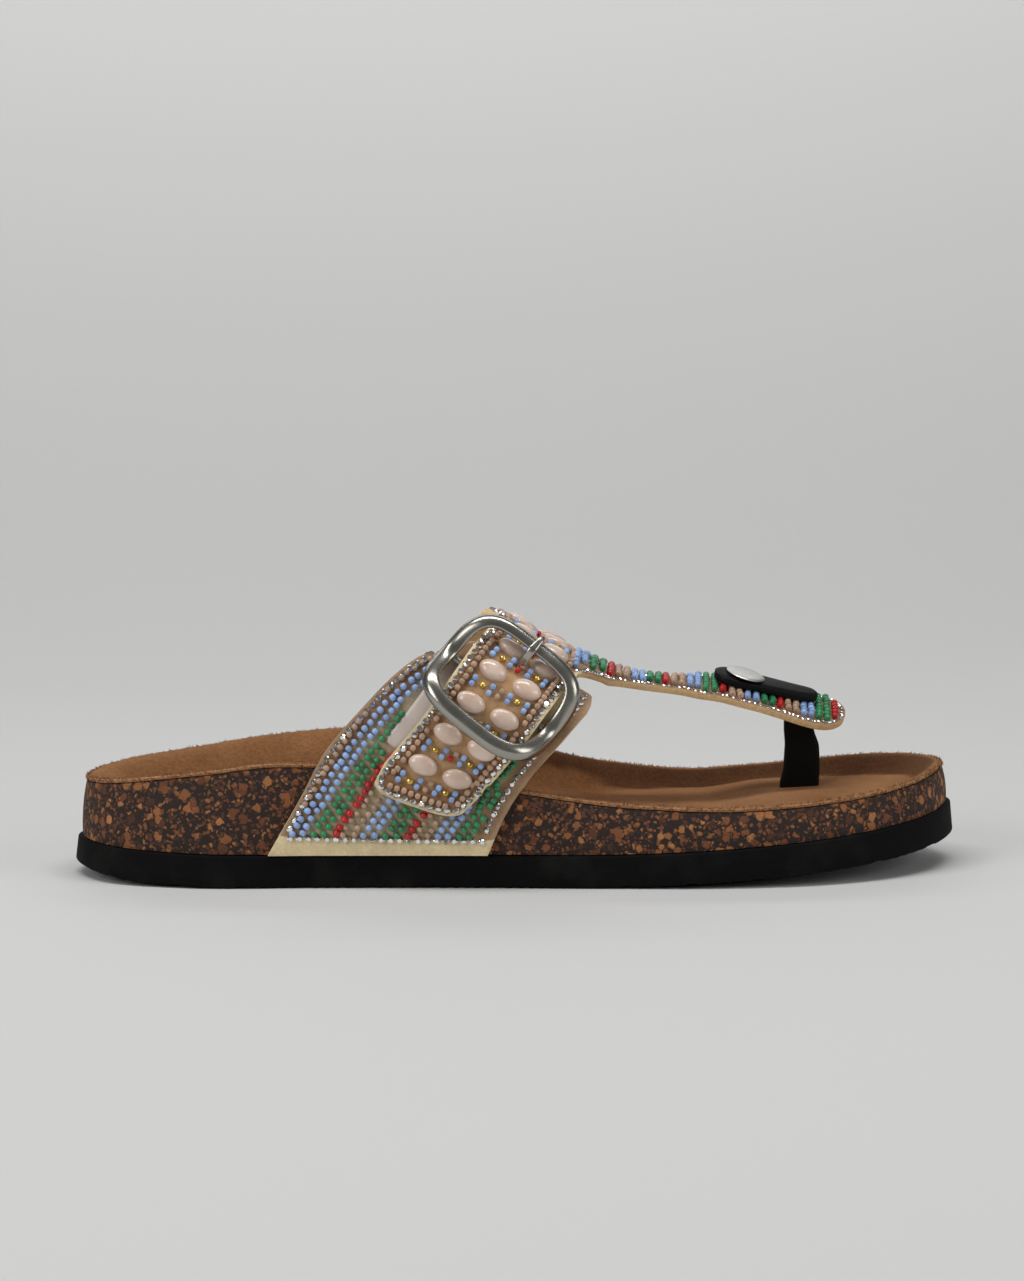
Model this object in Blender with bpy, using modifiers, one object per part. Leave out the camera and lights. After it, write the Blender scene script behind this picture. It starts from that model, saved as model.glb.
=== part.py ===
"""Toe post sandal for the right foot: foam outsole, cork footbed, suede insole and a beaded, buckled upper.

Metres, +Z up. +X runs from heel to toe, -Y is the outer side of the foot, and the origin is on the floor
under the middle of the sandal. Tables and sizes are in millimetres, and MM turns them into metres.
"""

import math

import bmesh
import bpy
import numpy as np
from mathutils import Matrix, Vector

MM = 0.001
GAP = 0.3  # left between two pieces that touch
SIDE_SHIFT = 2.4  # puts the middle of the sandal, its buckle included, over the origin
FINE = 48  # samples to each stretch of a curve that is read by its length


def table(columns, *rows):
    """Named columns of numbers, from the rows of a short table."""
    return dict(zip(columns.split(), np.array(rows, float).T))


# Sole and footbed. Stations x run from -126 at the heel to 126 at the toe.
HALF_LENGTH = 126.0
SOLE_THICKNESS = 9.0
SOLE_STEP = 2.0  # how far the outsole stands out round the footbed
SOLE_CHAMFER = 0.9
SOLE_DRAFT = 0.7
TOE_SPRING = 8.0
SPRING_START = 10.0
SPRING_POWER = 1.7
HEEL_RISE = 1.6
HEEL_RISE_START = -66.0
HEEL_BEVEL = 1.4
HEEL_BEVEL_LENGTH = 20.0
GROOVE_COUNT = 14
GROOVE_PITCH = 18.0
GROOVE_WIDTH = 2.6
GROOVE_DEPTH = 1.3
GROOVE_BELOW = 4.0  # how far the groove cutters go down below the sole
GROOVE_HALF_SPAN = 70.0
CORK_DRAFT = 1.3
CORK_BULGE = 0.5
INSOLE_THICKNESS = 1.4
RIM_FLAT = 1.8
ROUND_POINTS = 60
SPINE_SHARE = 0.74  # the middle line's length, as a share of the footbed's
SOLE_SHARES = (0.04, 0.4, 0.75)  # rings of the outsole's flat faces, out from the middle line
CORK_SHARES = (0.04, 0.5, 0.85)
BED_INSETS = (0.0, RIM_FLAT, 4.0, 7.0, 11.0, 16.0)  # rings of the bed, in from the rim
BED_SHARES = (0.3, 0.04)

# The footbed's base outline, from the back of the heel by the outer side to the toe and back by the inner.
OUTLINE = table(
    "x y",
    (-126.4, 0),
    (-117, -21.5),
    (-97, -31.5),
    (-60, -34),
    (-20, -37),
    (20, -41.5),
    (52, -44),
    (82, -40.5),
    (106, -28),
    (121, -9),
    (126, 9),
    (121, 24),
    (106, 35.5),
    (82, 42),
    (55, 43.5),
    (25, 38),
    (-10, 30.5),
    (-50, 29.5),
    (-95, 31.5),
    (-117, 22),
)

# Heights over the floor of the rim on each side and of the bed, and how wide the slope between them is.
RIM = table(
    "x outer inner bed slope_outer slope_inner",
    (-126, 28, 28.2, 18, 18, 18),
    (-112, 30.2, 29.9, 17.5, 20, 20),
    (-91, 33, 32.4, 17.5, 20, 22),
    (-72, 35, 35.3, 18.5, 20, 24),
    (-50, 34.5, 37.3, 20, 18, 24),
    (-28, 32, 36.9, 21, 16, 22),
    (2, 26.8, 31.6, 20, 12, 16),
    (30, 23.4, 25.4, 17.5, 7, 8),
    (56, 22.4, 22.4, 17.2, 5, 5),
    (76, 23.2, 23.6, 19.8, 5, 5),
    (90, 24.2, 25.1, 20.5, 5, 5),
    (110, 26.4, 27.6, 22.3, 5.5, 5.5),
    (126, 29, 29, 25, 6, 6),
)

# The last, which the straps lie on: the ridge of the instep and its run down to the toe post.
RIDGE = table(
    "x y z",
    (-90, 2.4, 112),
    (-52, 2.4, 95),
    (-27, 3.4, 82),
    (-9, 4.4, 72.8),
    (4, 5.4, 65.3),
    (18, 6.9, 58.7),
    (28, 8.1, 54.2),
    (38, 9.5, 51.6),
    (48, 11, 50.3),
    (57, 12.6, 49.6),
    (66, 14.4, 47.7),
    (76, 16.1, 45.0),
    (86, 17.9, 42.5),
    (106, 20.9, 39.4),
)

# Beaded straps: a felt backing with a raised bed of beads inside a bare border.
BACKING = 1.9
BEAD_BED = 1.7
BORDER = 1.5
BORDER_STEP = 0.35
BASE_BORDER = 3.4  # the bare hem along the sole
NOMINAL = 88.0  # length of one side of a section, for turning slants into shares of it

# Share u runs 0 at the outer sole edge, 1 on the ridge and 2 at the inner sole edge.
PANEL = table(
    "u rear front",
    (0.0, -73.5, -12.0),
    (0.14, -65.0, -6.7),
    (0.28, -57.4, 0.9),
    (0.42, -46.7, 10.2),
    (0.55, -36.0, 16.9),
    (0.65, -25.8, 19.5),
    (0.76, -13.0, 20.8),
)
PANEL_TOP = 0.68
PANEL_SLANT = 0.05  # how much further round its rear edge goes at the top, and its front edge less
PANEL_CORNER = 5.0  # how far its top corners draw down, and PANEL_PULL how far in
PANEL_PULL = 1.6
PANEL_END = 0.13  # the share of the section over which its end turns round
PANEL_ROWS = 12
PANEL_COLUMNS = 11

# The instep strap, from its tail over the ridge to the inner sole edge. Slant turns its rows, in degrees.
STRAP = table(
    "u x half slant lift",
    (0.15, -32.8, 13.6, 15, 4.0),
    (0.26, -25.4, 13.4, 17, 4.0),
    (0.37, -17.4, 13.2, 19, 4.7),
    (0.51, -8.8, 13.2, 22, 7.7),
    (0.59, -4.5, 13.2, 26, 7.0),
    (0.66, -1.2, 13.2, 27, 4.5),
    (0.76, 1.8, 13.2, 23, 4.1),
    (0.86, 3.0, 13.2, 12, 1.5),
    (1.0, 3.4, 13.2, 0, 0.0),
    (1.3, 0.2, 15.0, 0, 0.0),
    (1.65, -11.8, 21.0, 0, 0.0),
    (2.0, -28.8, 30.0, 0, 0.0),
)
TAIL_CORNER = 7.0
TAIL_END = 0.12
ROOT_OUTER, ROOT_INNER = 0.29, 0.2  # how far to each side of the ridge the toe strap leaves the instep strap
TAIL_ROWS, ROOT_ROWS, SOLE_ROWS = 13, 5, 9
STRAP_COLUMNS = 3
STRAP_SAMPLES = 400

# The toe strap's widths to each side of the ridge, and how steeply it leans to the outer side.
TOE_STRAP = table(
    "x outer inner lean",
    (16.8, 27.4, 15.2, 0.06),
    (19, 25.0, 13.3, 0.06),
    (21.2, 21.3, 11.8, 0.06),
    (24, 15.2, 10.2, 0.065),
    (28, 11.1, 8.9, 0.07),
    (36, 8.0, 7.2, 0.08),
    (46, 6.5, 7.0, 0.15),
    (54, 7.8, 8.8, 0.24),
    (61, 9.2, 9.6, 0.23),
    (69.5, 11.0, 10.0, 0.20),
    (78, 10.8, 10.0, 0.25),
    (88, 10.5, 10.0, 0.34),
    (97.4, 9.6, 9.6, 0.40),
)
TOE_ROOT_LENGTH = 9.0
TOE_ROOT_ROWS, TOE_ROWS = 5, 12
TOE_END_LENGTH = 22.0
TOE_END_ROUND = 10.0
TOE_END_SQUARENESS = 2.2

# Toe post: a moulded plate on the toe strap, with a flat post down through it into the footbed.
PLATE_THICKNESS = 2.4
PLATE_CROWN = 0.05
PLATE_POINTS = 13
PLATE_MIDDLE = 0.6  # the plate's middle line, as a share of its length
PLATE_LEVELS = (  # share of the outline, and height over the plate's underside
    (0.05, 0.0),
    (0.9, 0.0),
    (1.0, 0.4),
    (1.0, 1.8),
    (0.86, PLATE_THICKNESS),
    (0.05, PLATE_THICKNESS + PLATE_CROWN),
)
PLATE = table(
    "x half",
    (57.3, 0),
    (57.9, 2.8),
    (60, 5.0),
    (64.6, 6.2),
    (71, 5.6),
    (79, 4.1),
    (85.5, 3.0),
    (87.9, 1.8),
    (88.6, 0),
)
POST = table(
    "z x width thickness",
    (14.7, 84.1, 11.6, 2.8),
    (20.6, 84.0, 11.6, 2.8),
    (26.0, 84.6, 10.8, 2.7),
    (32.0, 84.7, 10.2, 2.6),
    (38.0, 83.7, 8.8, 2.6),
    (48.4, 83.7, 8.8, 2.6),
)
POST_Y = 17.4
POST_CORNER = 1.0
CORNER_TURN = 0.6  # radians to each side of a corner's middle, where its two points are
POST_STRAIGHT = 38.0  # the height from which the post is the same all the way up
POST_LEVELS = 8
POST_IN_PLATE = 1.0
SLOT_ABOVE = 8.0  # how far the slot's cutter goes up past the post

# Rivet: a low dome over the plate, with its shank and a flat cap under the strap.
RIVET_X = 65.4
RIVET_RADIUS = 5.8
RIVET_DOME = 0.9
RIVET_EDGE = 0.3
DOME = ((0.0, 1.0), (0.5, 0.9), (0.85, 0.62))  # shares of the rivet's radius and of its dome's height
RIVET_STEPS = 18
SHANK_RADIUS = 1.6
RIVET_HOLE = (-4.0, 9.0)  # its cutter's ends, out from the last
RIVET_CAP_RADIUS = 3.4
RIVET_CAP = 0.9
CAP_TAPER = 0.9

# Buckle: an arched frame with a centre bar under the strap, and a prong whose eye is round the bar.
BUCKLE_U = 0.51
BUCKLE_FORWARD, BUCKLE_UP = -0.75, 0.5
BUCKLE_TURN = -10.4  # degrees on the strap, towards its front
FRAME_HALF_ACROSS = 18.2
FRAME_HALF_ALONG = 15.7
FRAME_SQUARENESS = 3.6
FRAME_LOW = 5.7  # of the frame's middle line where the bar meets it, out from the last
FRAME_ARCH = 5.0
FRAME_WIDTH = 4.6
FRAME_HEIGHT = 3.2
FRAME_POINTS, FRAME_SIDES = 32, 8
SHAFT_SEGMENTS = 20
BAR_RADIUS = 0.9
BAR_HEIGHT = 4.9
EYE_RADIUS = 2.35
EYE_PLAY = 0.25
EYE_SIDE = 0.2  # the eye is this much wider than the prong on each side
BORE_HALF = 9.0
PRONG_WIDTH = 2.4
PRONG_THICKNESS = 1.2
PRONG_TAPER = 0.5
PRONG_TAPER_START, PRONG_TAPER_LENGTH = 14.0, 5.0
PRONG_STATIONS = 12
PRONG_SECTION = ((-1, -0.45), (-0.7, -1), (0.7, -1), (1, -0.45), (1, 0.45), (0.7, 1), (-0.7, 1), (-1, 0.45))
PRONG = table(  # its middle line: up the strap from the bar, and out from the last
    "along out",
    (0.0, 6.3),
    (4.0, 6.1),
    (7.0, 6.6),
    (9.3, 8.9),
    (11.3, 11.9),
    (13.5, 13.4),
    (16.2, 13.4),
    (18.6, 12.9),
)

# Tab that holds the bar to the panel: its edges across the strap and its ends along it.
TAB_THICKNESS = 0.8
TAB_CORNER = 2.0
TAB_REAR = -17.4
TAB_FRONT = 10.5
TAB_LOW = 0.27
TAB_HIGH = 0.55
TAB_END = 0.04
TAB_ROWS, TAB_COLUMNS = 8, 6
TAB_CLEAR = 6.0  # the bead bed stops this far from the tab

# Oval stones glued two by two along the instep strap.
STONE_LENGTH = 8.8
STONE_WIDTH = 5.8
STONE_RISE = 0.9
STONE_PITCH = 11.1
STONE_FIRST = 12.4
STONE_ACROSS = 5.0
STONE_GAP = 0.45
STONE_PAIRS = 14
STONE_POINTS = 8
STONE_LEVELS = ((1.0, 0.0), (0.92, 0.6), (0.5, 1.0))  # shares of its oval and of its rise

COLOURS = {
    "eva_black": ((0.012, 0.012, 0.013), 0.7, 0.0),
    "cork": ((0.19, 0.095, 0.045), 0.85, 0.0),
    "suede_tan": ((0.36, 0.19, 0.085), 0.95, 0.0),
    "beaded_felt": ((0.52, 0.42, 0.28), 0.8, 0.0),
    "nickel": ((0.62, 0.62, 0.6), 0.22, 1.0),
    "moulded_black": ((0.015, 0.015, 0.015), 0.5, 0.0),
    "clear_vinyl": ((0.62, 0.56, 0.5), 0.3, 0.0),
    "pink_stone": ((0.7, 0.5, 0.42), 0.2, 0.0),
}


# Curves and sections


def smooth(xs, ys, at):
    """A smooth curve through the points (xs, ys), read at the given places, with no overshoot between them."""
    step = np.diff(xs)
    slope = np.diff(ys) / step
    same_way = slope[:-1] * slope[1:] > 0
    total = np.where(same_way, slope[:-1] + slope[1:], 1.0)
    inner = np.where(same_way, 2 * slope[:-1] * slope[1:] / total, 0.0)
    tangent = np.concatenate([slope[:1], inner, slope[-1:]])
    at = np.clip(at, xs[0], xs[-1])
    i = np.clip(np.searchsorted(xs, at) - 1, 0, len(step) - 1)
    t = (at - xs[i]) / step[i]
    return (
        (1 + 2 * t) * (1 - t) ** 2 * ys[i]
        + t * (1 - t) ** 2 * step[i] * tangent[i]
        + t**2 * (3 - 2 * t) * ys[i + 1]
        + t**2 * (t - 1) * step[i] * tangent[i + 1]
    )


def ease(t):
    """From 0 to 1 with a level start and end."""
    t = np.clip(t, 0, 1)
    return t * t * (3 - 2 * t)


def by_length(points, shares):
    """Points at the given shares of a polyline's length."""
    along = np.concatenate([[0], np.cumsum(np.linalg.norm(np.diff(points, axis=0), axis=1))])
    places = np.asarray(shares) * along[-1]
    return np.stack([np.interp(places, along, points[:, k]) for k in range(points.shape[1])], 1)


def outline_sides():
    """The footbed's base outline as two dense polylines from heel to toe: outer side, inner side."""
    points = np.stack([OUTLINE["x"], OUTLINE["y"]], 1)
    middle = (points.max(0) + points.min(0)) / 2
    points = points - middle + (0, SIDE_SHIFT)
    after = np.roll(points, -1, 0)
    ahead = np.linalg.norm(after - points, axis=1)[:, None]
    back = np.roll(ahead, 1, 0)
    chord = (after - points) / ahead
    tangent = (chord * back + np.roll(chord, 1, 0) * ahead) / (back + ahead)
    t = np.linspace(0, 1, FINE, endpoint=False)[None, :, None]
    curve = (
        (1 + 2 * t) * (1 - t) ** 2 * points[:, None]
        + t * (1 - t) ** 2 * (ahead * tangent)[:, None]
        + t**2 * (3 - 2 * t) * after[:, None]
        + t**2 * (t - 1) * (ahead * np.roll(tangent, -1, 0))[:, None]
    ).reshape(-1, 2)
    toe = int(np.argmax(curve[:, 0]))
    return curve[: toe + 1], np.concatenate([curve[toe:], curve[:1]])[::-1]


OUTER_SIDE, INNER_SIDE = outline_sides()


def footbed_loop(count):
    """Points round the footbed's base, from the heel by the outer side to the toe and back by the inner."""
    shares = np.linspace(0, 1, count // 2 + 1)
    outer, inner = by_length(OUTER_SIDE, shares), by_length(INNER_SIDE, shares)
    return np.concatenate([outer, inner[-2:0:-1]])


def spring(x):
    """Rise of the sole: level in the middle, with a curve up to the toe and a slight one up to the heel."""
    toe = np.clip((x - SPRING_START) / (HALF_LENGTH - SPRING_START), 0, None) ** SPRING_POWER
    heel = np.clip((HEEL_RISE_START - x) / (HALF_LENGTH + HEEL_RISE_START), 0, None) ** 2
    return TOE_SPRING * toe + HEEL_RISE * heel


def underside(x):
    """Height of the outsole's underside: the sole's rise, and a short bevel at the back of the heel."""
    bevel = np.clip((HEEL_BEVEL_LENGTH - HALF_LENGTH - x) / HEEL_BEVEL_LENGTH, 0, None) ** 2
    return spring(x) + HEEL_BEVEL * bevel


def sole_top(x):
    """Height of the outsole's upper face."""
    return SOLE_THICKNESS + spring(x)


def read(rows, column, x):
    """A table's column at the given stations."""
    return smooth(rows["x"], rows[column], x)


# Mesh tools


def material(name):
    """The named finish as a Principled BSDF material."""
    made = bpy.data.materials.get(name) or bpy.data.materials.new(name)
    colour, roughness, metallic = COLOURS[name]
    made.use_nodes = True
    shader = made.node_tree.nodes["Principled BSDF"]
    shader.inputs["Base Color"].default_value = (*colour, 1.0)
    shader.inputs["Roughness"].default_value = roughness
    shader.inputs["Metallic"].default_value = metallic
    return made


def collection(name):
    """The named collection, made and linked the first time."""
    found = bpy.data.collections.get(name)
    if found is None:
        found = bpy.data.collections.new(name)
        bpy.context.scene.collection.children.link(found)
    return found


def mesh_object(name, points, faces, finish, group="toe_post_sandal"):
    """An object with its faces turned outwards, from points in millimetres."""
    mesh = bpy.data.meshes.new(name)
    mesh.from_pydata((np.asarray(points) * MM).tolist(), [], faces)
    shaped = bmesh.new()
    shaped.from_mesh(mesh)
    bmesh.ops.recalc_face_normals(shaped, faces=shaped.faces)
    shaped.to_mesh(mesh)
    shaped.free()
    mesh.shade_smooth()
    mesh.set_sharp_from_angle(angle=math.radians(35))
    made = bpy.data.objects.new(name, mesh)
    collection(group).objects.link(made)
    if finish:
        mesh.materials.append(material(finish))
    return made


def cutter(name, points, faces):
    """A helper object that only cuts or joins."""
    made = mesh_object(name, points, faces, None, "cutters")
    made.hide_render = True
    made.display_type = "WIRE"
    return made


def boolean(target, other, operation):
    """Cuts the other object from the target, or joins it on."""
    modifier = target.modifiers.new(f"{operation.lower()}_{other.name}", "BOOLEAN")
    modifier.object = other
    modifier.operation = operation
    modifier.solver = "EXACT"
    return modifier


def across(count, first):
    """Faces that close a ring, joining each point to the one opposite it."""
    opposite = [(first + (-i) % count) for i in range(count)]
    faces = []
    for i in range(count // 2):
        corners = [first + i, first + i + 1, opposite[i + 1], opposite[i]]
        faces.append(list(dict.fromkeys(corners)))
    return faces


def between(count, first, second):
    """Faces between two rings of the same count."""
    return [
        [first + i, first + (i + 1) % count, second + (i + 1) % count, second + i]
        for i in range(count)
    ]


def ring_faces(count, rings, closed_start=True):
    """Faces of a stack of rings, closed at its end, and at its start unless that stays open."""
    faces = across(count, 0) if closed_start else []
    for k in range(rings - 1):
        faces += between(count, k * count, (k + 1) * count)
    return faces + across(count, (rings - 1) * count)


def ring_solid(name, rings, finish):
    """A closed solid lofted through rings of points."""
    return mesh_object(name, np.concatenate(rings), ring_faces(len(rings[0]), len(rings)), finish)


def grid_faces(rows, columns):
    """Quads of a grid of points stored row by row."""
    return [
        [r * columns + c, r * columns + c + 1, (r + 1) * columns + c + 1, (r + 1) * columns + c]
        for r in range(rows - 1)
        for c in range(columns - 1)
    ]


# Outsole, footbed and insole


class Rings:
    """Rings round the footbed, placed by their distance in from its outline or by their share of the way out."""

    def __init__(self, count, grow=0.0):
        loop = footbed_loop(count)
        ahead = np.roll(loop, -1, 0) - np.roll(loop, 1, 0)
        normal = np.stack([ahead[:, 1], -ahead[:, 0]], 1)
        self.loop = loop + grow * normal / np.linalg.norm(normal, axis=1)[:, None]
        opposite = self.loop[(-np.arange(count)) % count]
        self.spine = (self.loop + opposite) / 2 * (SPINE_SHARE, 1.0)
        self.ray = self.spine - self.loop
        self.reach = np.linalg.norm(self.ray, axis=1)
        self.inner = np.arange(count) > count // 2
        self.station = self.loop[:, 0]

    def inset(self, distance):
        """The ring this far in from the outline."""
        return self.loop + self.ray * (distance / self.reach)[:, None]

    def share(self, share):
        """The ring at this share of the way from the spine to the outline."""
        return self.spine - self.ray * share

    def side(self, rows, column):
        """A table's outer or inner column at each point's station."""
        outer = read(rows, f"{column}outer", self.station)
        return np.where(self.inner, read(rows, f"{column}inner", self.station), outer)


def raised(ring, heights):
    """A flat ring lifted to the given heights."""
    return np.column_stack([ring, np.broadcast_to(heights, len(ring))])


def build_outsole():
    """Foam sole: its underside follows the toe spring, its side has a chamfer and a draft, and grooves cross it."""
    rings = Rings(ROUND_POINTS, SOLE_STEP)
    under = [rings.share(share) for share in SOLE_SHARES] + [rings.inset(SOLE_CHAMFER)]
    stack = [raised(ring, underside(ring[:, 0])) for ring in under]
    edge = rings.loop
    stack.append(raised(edge, underside(edge[:, 0]) + SOLE_CHAMFER))
    top = rings.inset(SOLE_DRAFT)
    stack.append(raised(top, sole_top(edge[:, 0])))
    for share in SOLE_SHARES[::-1]:
        ring = rings.share(share)
        stack.append(raised(ring, sole_top(ring[:, 0])))
    outsole = ring_solid("outsole", stack, "eva_black")

    points, faces = [], []
    for k in range(GROOVE_COUNT):
        x = (k - (GROOVE_COUNT - 1) / 2) * GROOVE_PITCH
        base = len(points)
        for z in (underside(x) - GROOVE_BELOW, underside(x) + GROOVE_DEPTH):
            for dx, dy in ((-1, -1), (1, -1), (1, 1), (-1, 1)):
                points.append((x + dx * GROOVE_WIDTH / 2, dy * GROOVE_HALF_SPAN, z))
        faces += [[base + i for i in quad] for quad in ((0, 1, 2, 3), (4, 5, 6, 7))]
        faces += between(4, base, base + 4)
    boolean(outsole, cutter("tread_grooves", points, faces), "DIFFERENCE")
    return outsole


def bed_rings():
    """The insole's upper face as rings from the rim to the middle: a flat rim, a slope and the bed."""
    rings = Rings(ROUND_POINTS)
    rim, slope = rings.side(RIM, ""), rings.side(RIM, "slope_")
    flat = [rings.inset(CORK_DRAFT + inset) for inset in BED_INSETS]
    flat += [rings.share(share) for share in BED_SHARES]
    stack = []
    for ring in flat:
        inside = rings.reach - np.linalg.norm(ring - rings.spine, axis=1) - CORK_DRAFT
        bed = read(RIM, "bed", ring[:, 0])
        stack.append(raised(ring, bed + (rim - bed) * (1 - ease((inside - RIM_FLAT) / slope))))
    return stack


def ring_normals(stack):
    """Upward unit normals of a surface given as rings."""
    points = np.stack(stack)
    round_step = np.roll(points, -1, 1) - np.roll(points, 1, 1)
    in_step = np.gradient(points, axis=0)
    normal = np.cross(round_step, in_step)
    return normal / np.linalg.norm(normal, axis=2)[:, :, None]


def build_insole():
    """Suede sheet over the footbed, from rim to rim."""
    stack = bed_rings()
    faces = ring_faces(len(stack[0]), len(stack), closed_start=False)
    insole = mesh_object("insole", np.concatenate(stack), faces, "suede_tan")
    shell = insole.modifiers.new("thickness", "SOLIDIFY")
    shell.thickness = INSOLE_THICKNESS * MM
    shell.offset = -1
    return insole


def build_footbed():
    """Pressed cork block: its top lies under the insole, and its wall leans in and bulges a little."""
    rings = Rings(ROUND_POINTS)
    stack = []
    for ring in [rings.share(share) for share in CORK_SHARES] + [rings.loop]:
        stack.append(raised(ring, sole_top(ring[:, 0]) + GAP))
    surface = np.stack(bed_rings())
    top = surface - ring_normals(surface) * (INSOLE_THICKNESS + GAP)
    middle = (stack[-1] + top[0]) / 2
    outward = -rings.ray / rings.reach[:, None]
    middle[:, :2] += outward * CORK_BULGE
    return ring_solid("footbed", [*stack, middle, *top], "cork")


# The last and the straps on it


def edge_at(x, inner):
    """Signed distance across from the axis to the footbed's outline at each station."""
    outer_edge = np.interp(x, OUTER_SIDE[:, 0], OUTER_SIDE[:, 1])
    return np.where(inner, np.interp(x, INNER_SIDE[:, 0], INNER_SIDE[:, 1]), outer_edge)


def half_section(x, inner):
    """Dense points up each half section of the last: the footbed's wall, then a quarter ellipse to the ridge."""
    sign = np.where(inner, 1.0, -1.0)
    rim_z = np.where(inner, read(RIM, "inner", x), read(RIM, "outer", x))
    base_z = sole_top(x) + GAP
    base_y = edge_at(x, inner) + sign * GAP
    rim_y = base_y - sign * CORK_DRAFT
    up = np.linspace(0, 1, FINE // 4, endpoint=False)[None, :]
    wall_y = base_y[:, None] + (rim_y - base_y)[:, None] * up + (sign * CORK_BULGE)[:, None] * 4 * up * (1 - up)
    wall_z = base_z[:, None] + (rim_z - base_z)[:, None] * up
    turn = np.linspace(0, math.pi / 2, FINE)[None, :]
    ridge_y, ridge_z = read(RIDGE, "y", x)[:, None], read(RIDGE, "z", x)[:, None]
    arch_y = ridge_y + (rim_y[:, None] - ridge_y) * np.cos(turn)
    arch_z = rim_z[:, None] + (ridge_z - rim_z[:, None]) * np.sin(turn)
    ys, zs = np.hstack([wall_y, arch_y]), np.hstack([wall_z, arch_z])
    steps = np.hypot(np.diff(ys, axis=1), np.diff(zs, axis=1))
    along = np.hstack([np.zeros((len(x), 1)), np.cumsum(steps, axis=1)])
    return ys, zs, along


def last(x, u):
    """Points of the last at stations x and shares u round its section."""
    x, u = np.broadcast_arrays(np.asarray(x, float), np.asarray(u, float))
    shape, x, u = x.shape, x.ravel(), u.ravel()
    ys, zs, along = half_section(x, u > 1)
    place = np.where(u > 1, 2 - u, u) * along[:, -1]
    i = np.clip((along < place[:, None]).sum(1) - 1, 0, along.shape[1] - 2)
    row = np.arange(len(x))
    t = (place - along[row, i]) / (along[row, i + 1] - along[row, i])
    y = ys[row, i] + t * (ys[row, i + 1] - ys[row, i])
    z = zs[row, i] + t * (zs[row, i + 1] - zs[row, i])
    return np.stack([x, y, z], 1).reshape(*shape, 3)


def last_normal(x, u):
    """Unit normals of the last, pointing away from the foot."""
    dx, du = 0.4, 0.006
    along = last(np.add(x, dx), u) - last(np.subtract(x, dx), u)
    round_it = last(x, np.add(u, du)) - last(x, np.subtract(u, du))
    normal = np.cross(along, round_it)
    return normal / np.linalg.norm(normal, axis=-1, keepdims=True)


def on_last(x, u, lift=0.0):
    """Points lifted out from the last."""
    return last(x, u) + last_normal(x, u) * np.asarray(lift, float)[..., None]


def beside_ridge(x, distance):
    """The share u that lies this far from the ridge along the section, towards the inner side if positive."""
    x, distance = np.broadcast_arrays(np.asarray(x, float), np.asarray(distance, float))
    flat = x.ravel()
    length = [half_section(flat, np.full(len(flat), side))[2][:, -1].reshape(x.shape) for side in (False, True)]
    return 1 + distance / np.where(distance > 0, length[1], length[0])


def toe_point(x, beside, lift):
    """Points over the toe strap's place: a station, the distance from the ridge and the height out."""
    lean = read(TOE_STRAP, "lean", np.asarray(x, float)) * beside
    return on_last(x, beside_ridge(x, beside), lift + lean)


def strap_row(u, column):
    """A column of the instep strap's table at the given shares."""
    return smooth(STRAP["u"], STRAP[column], u)


def strap_place(u_row, width):
    """(x, u) of places on the instep strap: a row's share, and the distance in front of its middle line."""
    slant = np.radians(strap_row(u_row, "slant"))
    x = strap_row(u_row, "x") + width * np.cos(slant)
    return x, u_row - width * np.sin(slant) / NOMINAL


def strap_coordinates(x, u):
    """The inverse of strap_place: which row and width of the instep strap lie over (x, u)."""
    u_row = np.array(u, float)
    for _ in range(6):
        slant = np.radians(strap_row(u_row, "slant"))
        width = (x - strap_row(u_row, "x")) / np.cos(slant)
        u_row = u + width * np.sin(slant) / NOMINAL
    return u_row, width


def bordered(outer, inner, columns):
    """Places across a strap from its widths to each side: edges, both sides of the borders' steps, and between."""
    step = BORDER + BORDER_STEP
    inside = np.linspace(step - outer, inner - step, columns + 2, axis=1)
    left = np.stack([-outer, BORDER - outer], 1)
    return np.hstack([left, inside, np.stack([inner - BORDER, inner], 1)])


def edge_distance(points, faces):
    """Each point's distance to the open edge of a sheet."""
    count = {}
    for face in faces:
        for a, b in zip(face, face[1:] + face[:1]):
            key = (min(a, b), max(a, b))
            count[key] = count.get(key, 0) + 1
    ends = np.array([key for key, n in count.items() if n == 1])
    start, run = points[ends[:, 0]], points[ends[:, 1]] - points[ends[:, 0]]
    from_start = points[:, None] - start[None]
    t = np.clip((from_start * run).sum(2) / (run**2).sum(1), 0, 1)
    return np.linalg.norm(from_start - t[..., None] * run, axis=2).min(1)


def beaded_sheet(name, points, faces, bare):
    """A strap from its sheet: the backing, raised by the bead bed inside the border and off the bare places."""
    made = mesh_object(name, points, faces, "beaded_felt")
    inside = edge_distance(points, faces) > BORDER + BORDER_STEP / 2
    group = made.vertex_groups.new(name="bead_bed")
    group.add(np.flatnonzero(inside & ~bare).tolist(), 1.0, "REPLACE")
    shell = made.modifiers.new("wall", "SOLIDIFY")
    shell.thickness = (BACKING + BEAD_BED) * MM
    shell.offset = 1
    shell.vertex_group = group.name
    shell.thickness_vertex_group = BACKING / (BACKING + BEAD_BED)
    return made


def rounded(c, squareness=4.0):
    """How far a strap's end draws back at the place c across it, from 0 in the middle to 1 at an edge."""
    return 1 - (1 - np.abs(np.clip(c, -1, 1)) ** squareness) ** (1 / squareness)


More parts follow.
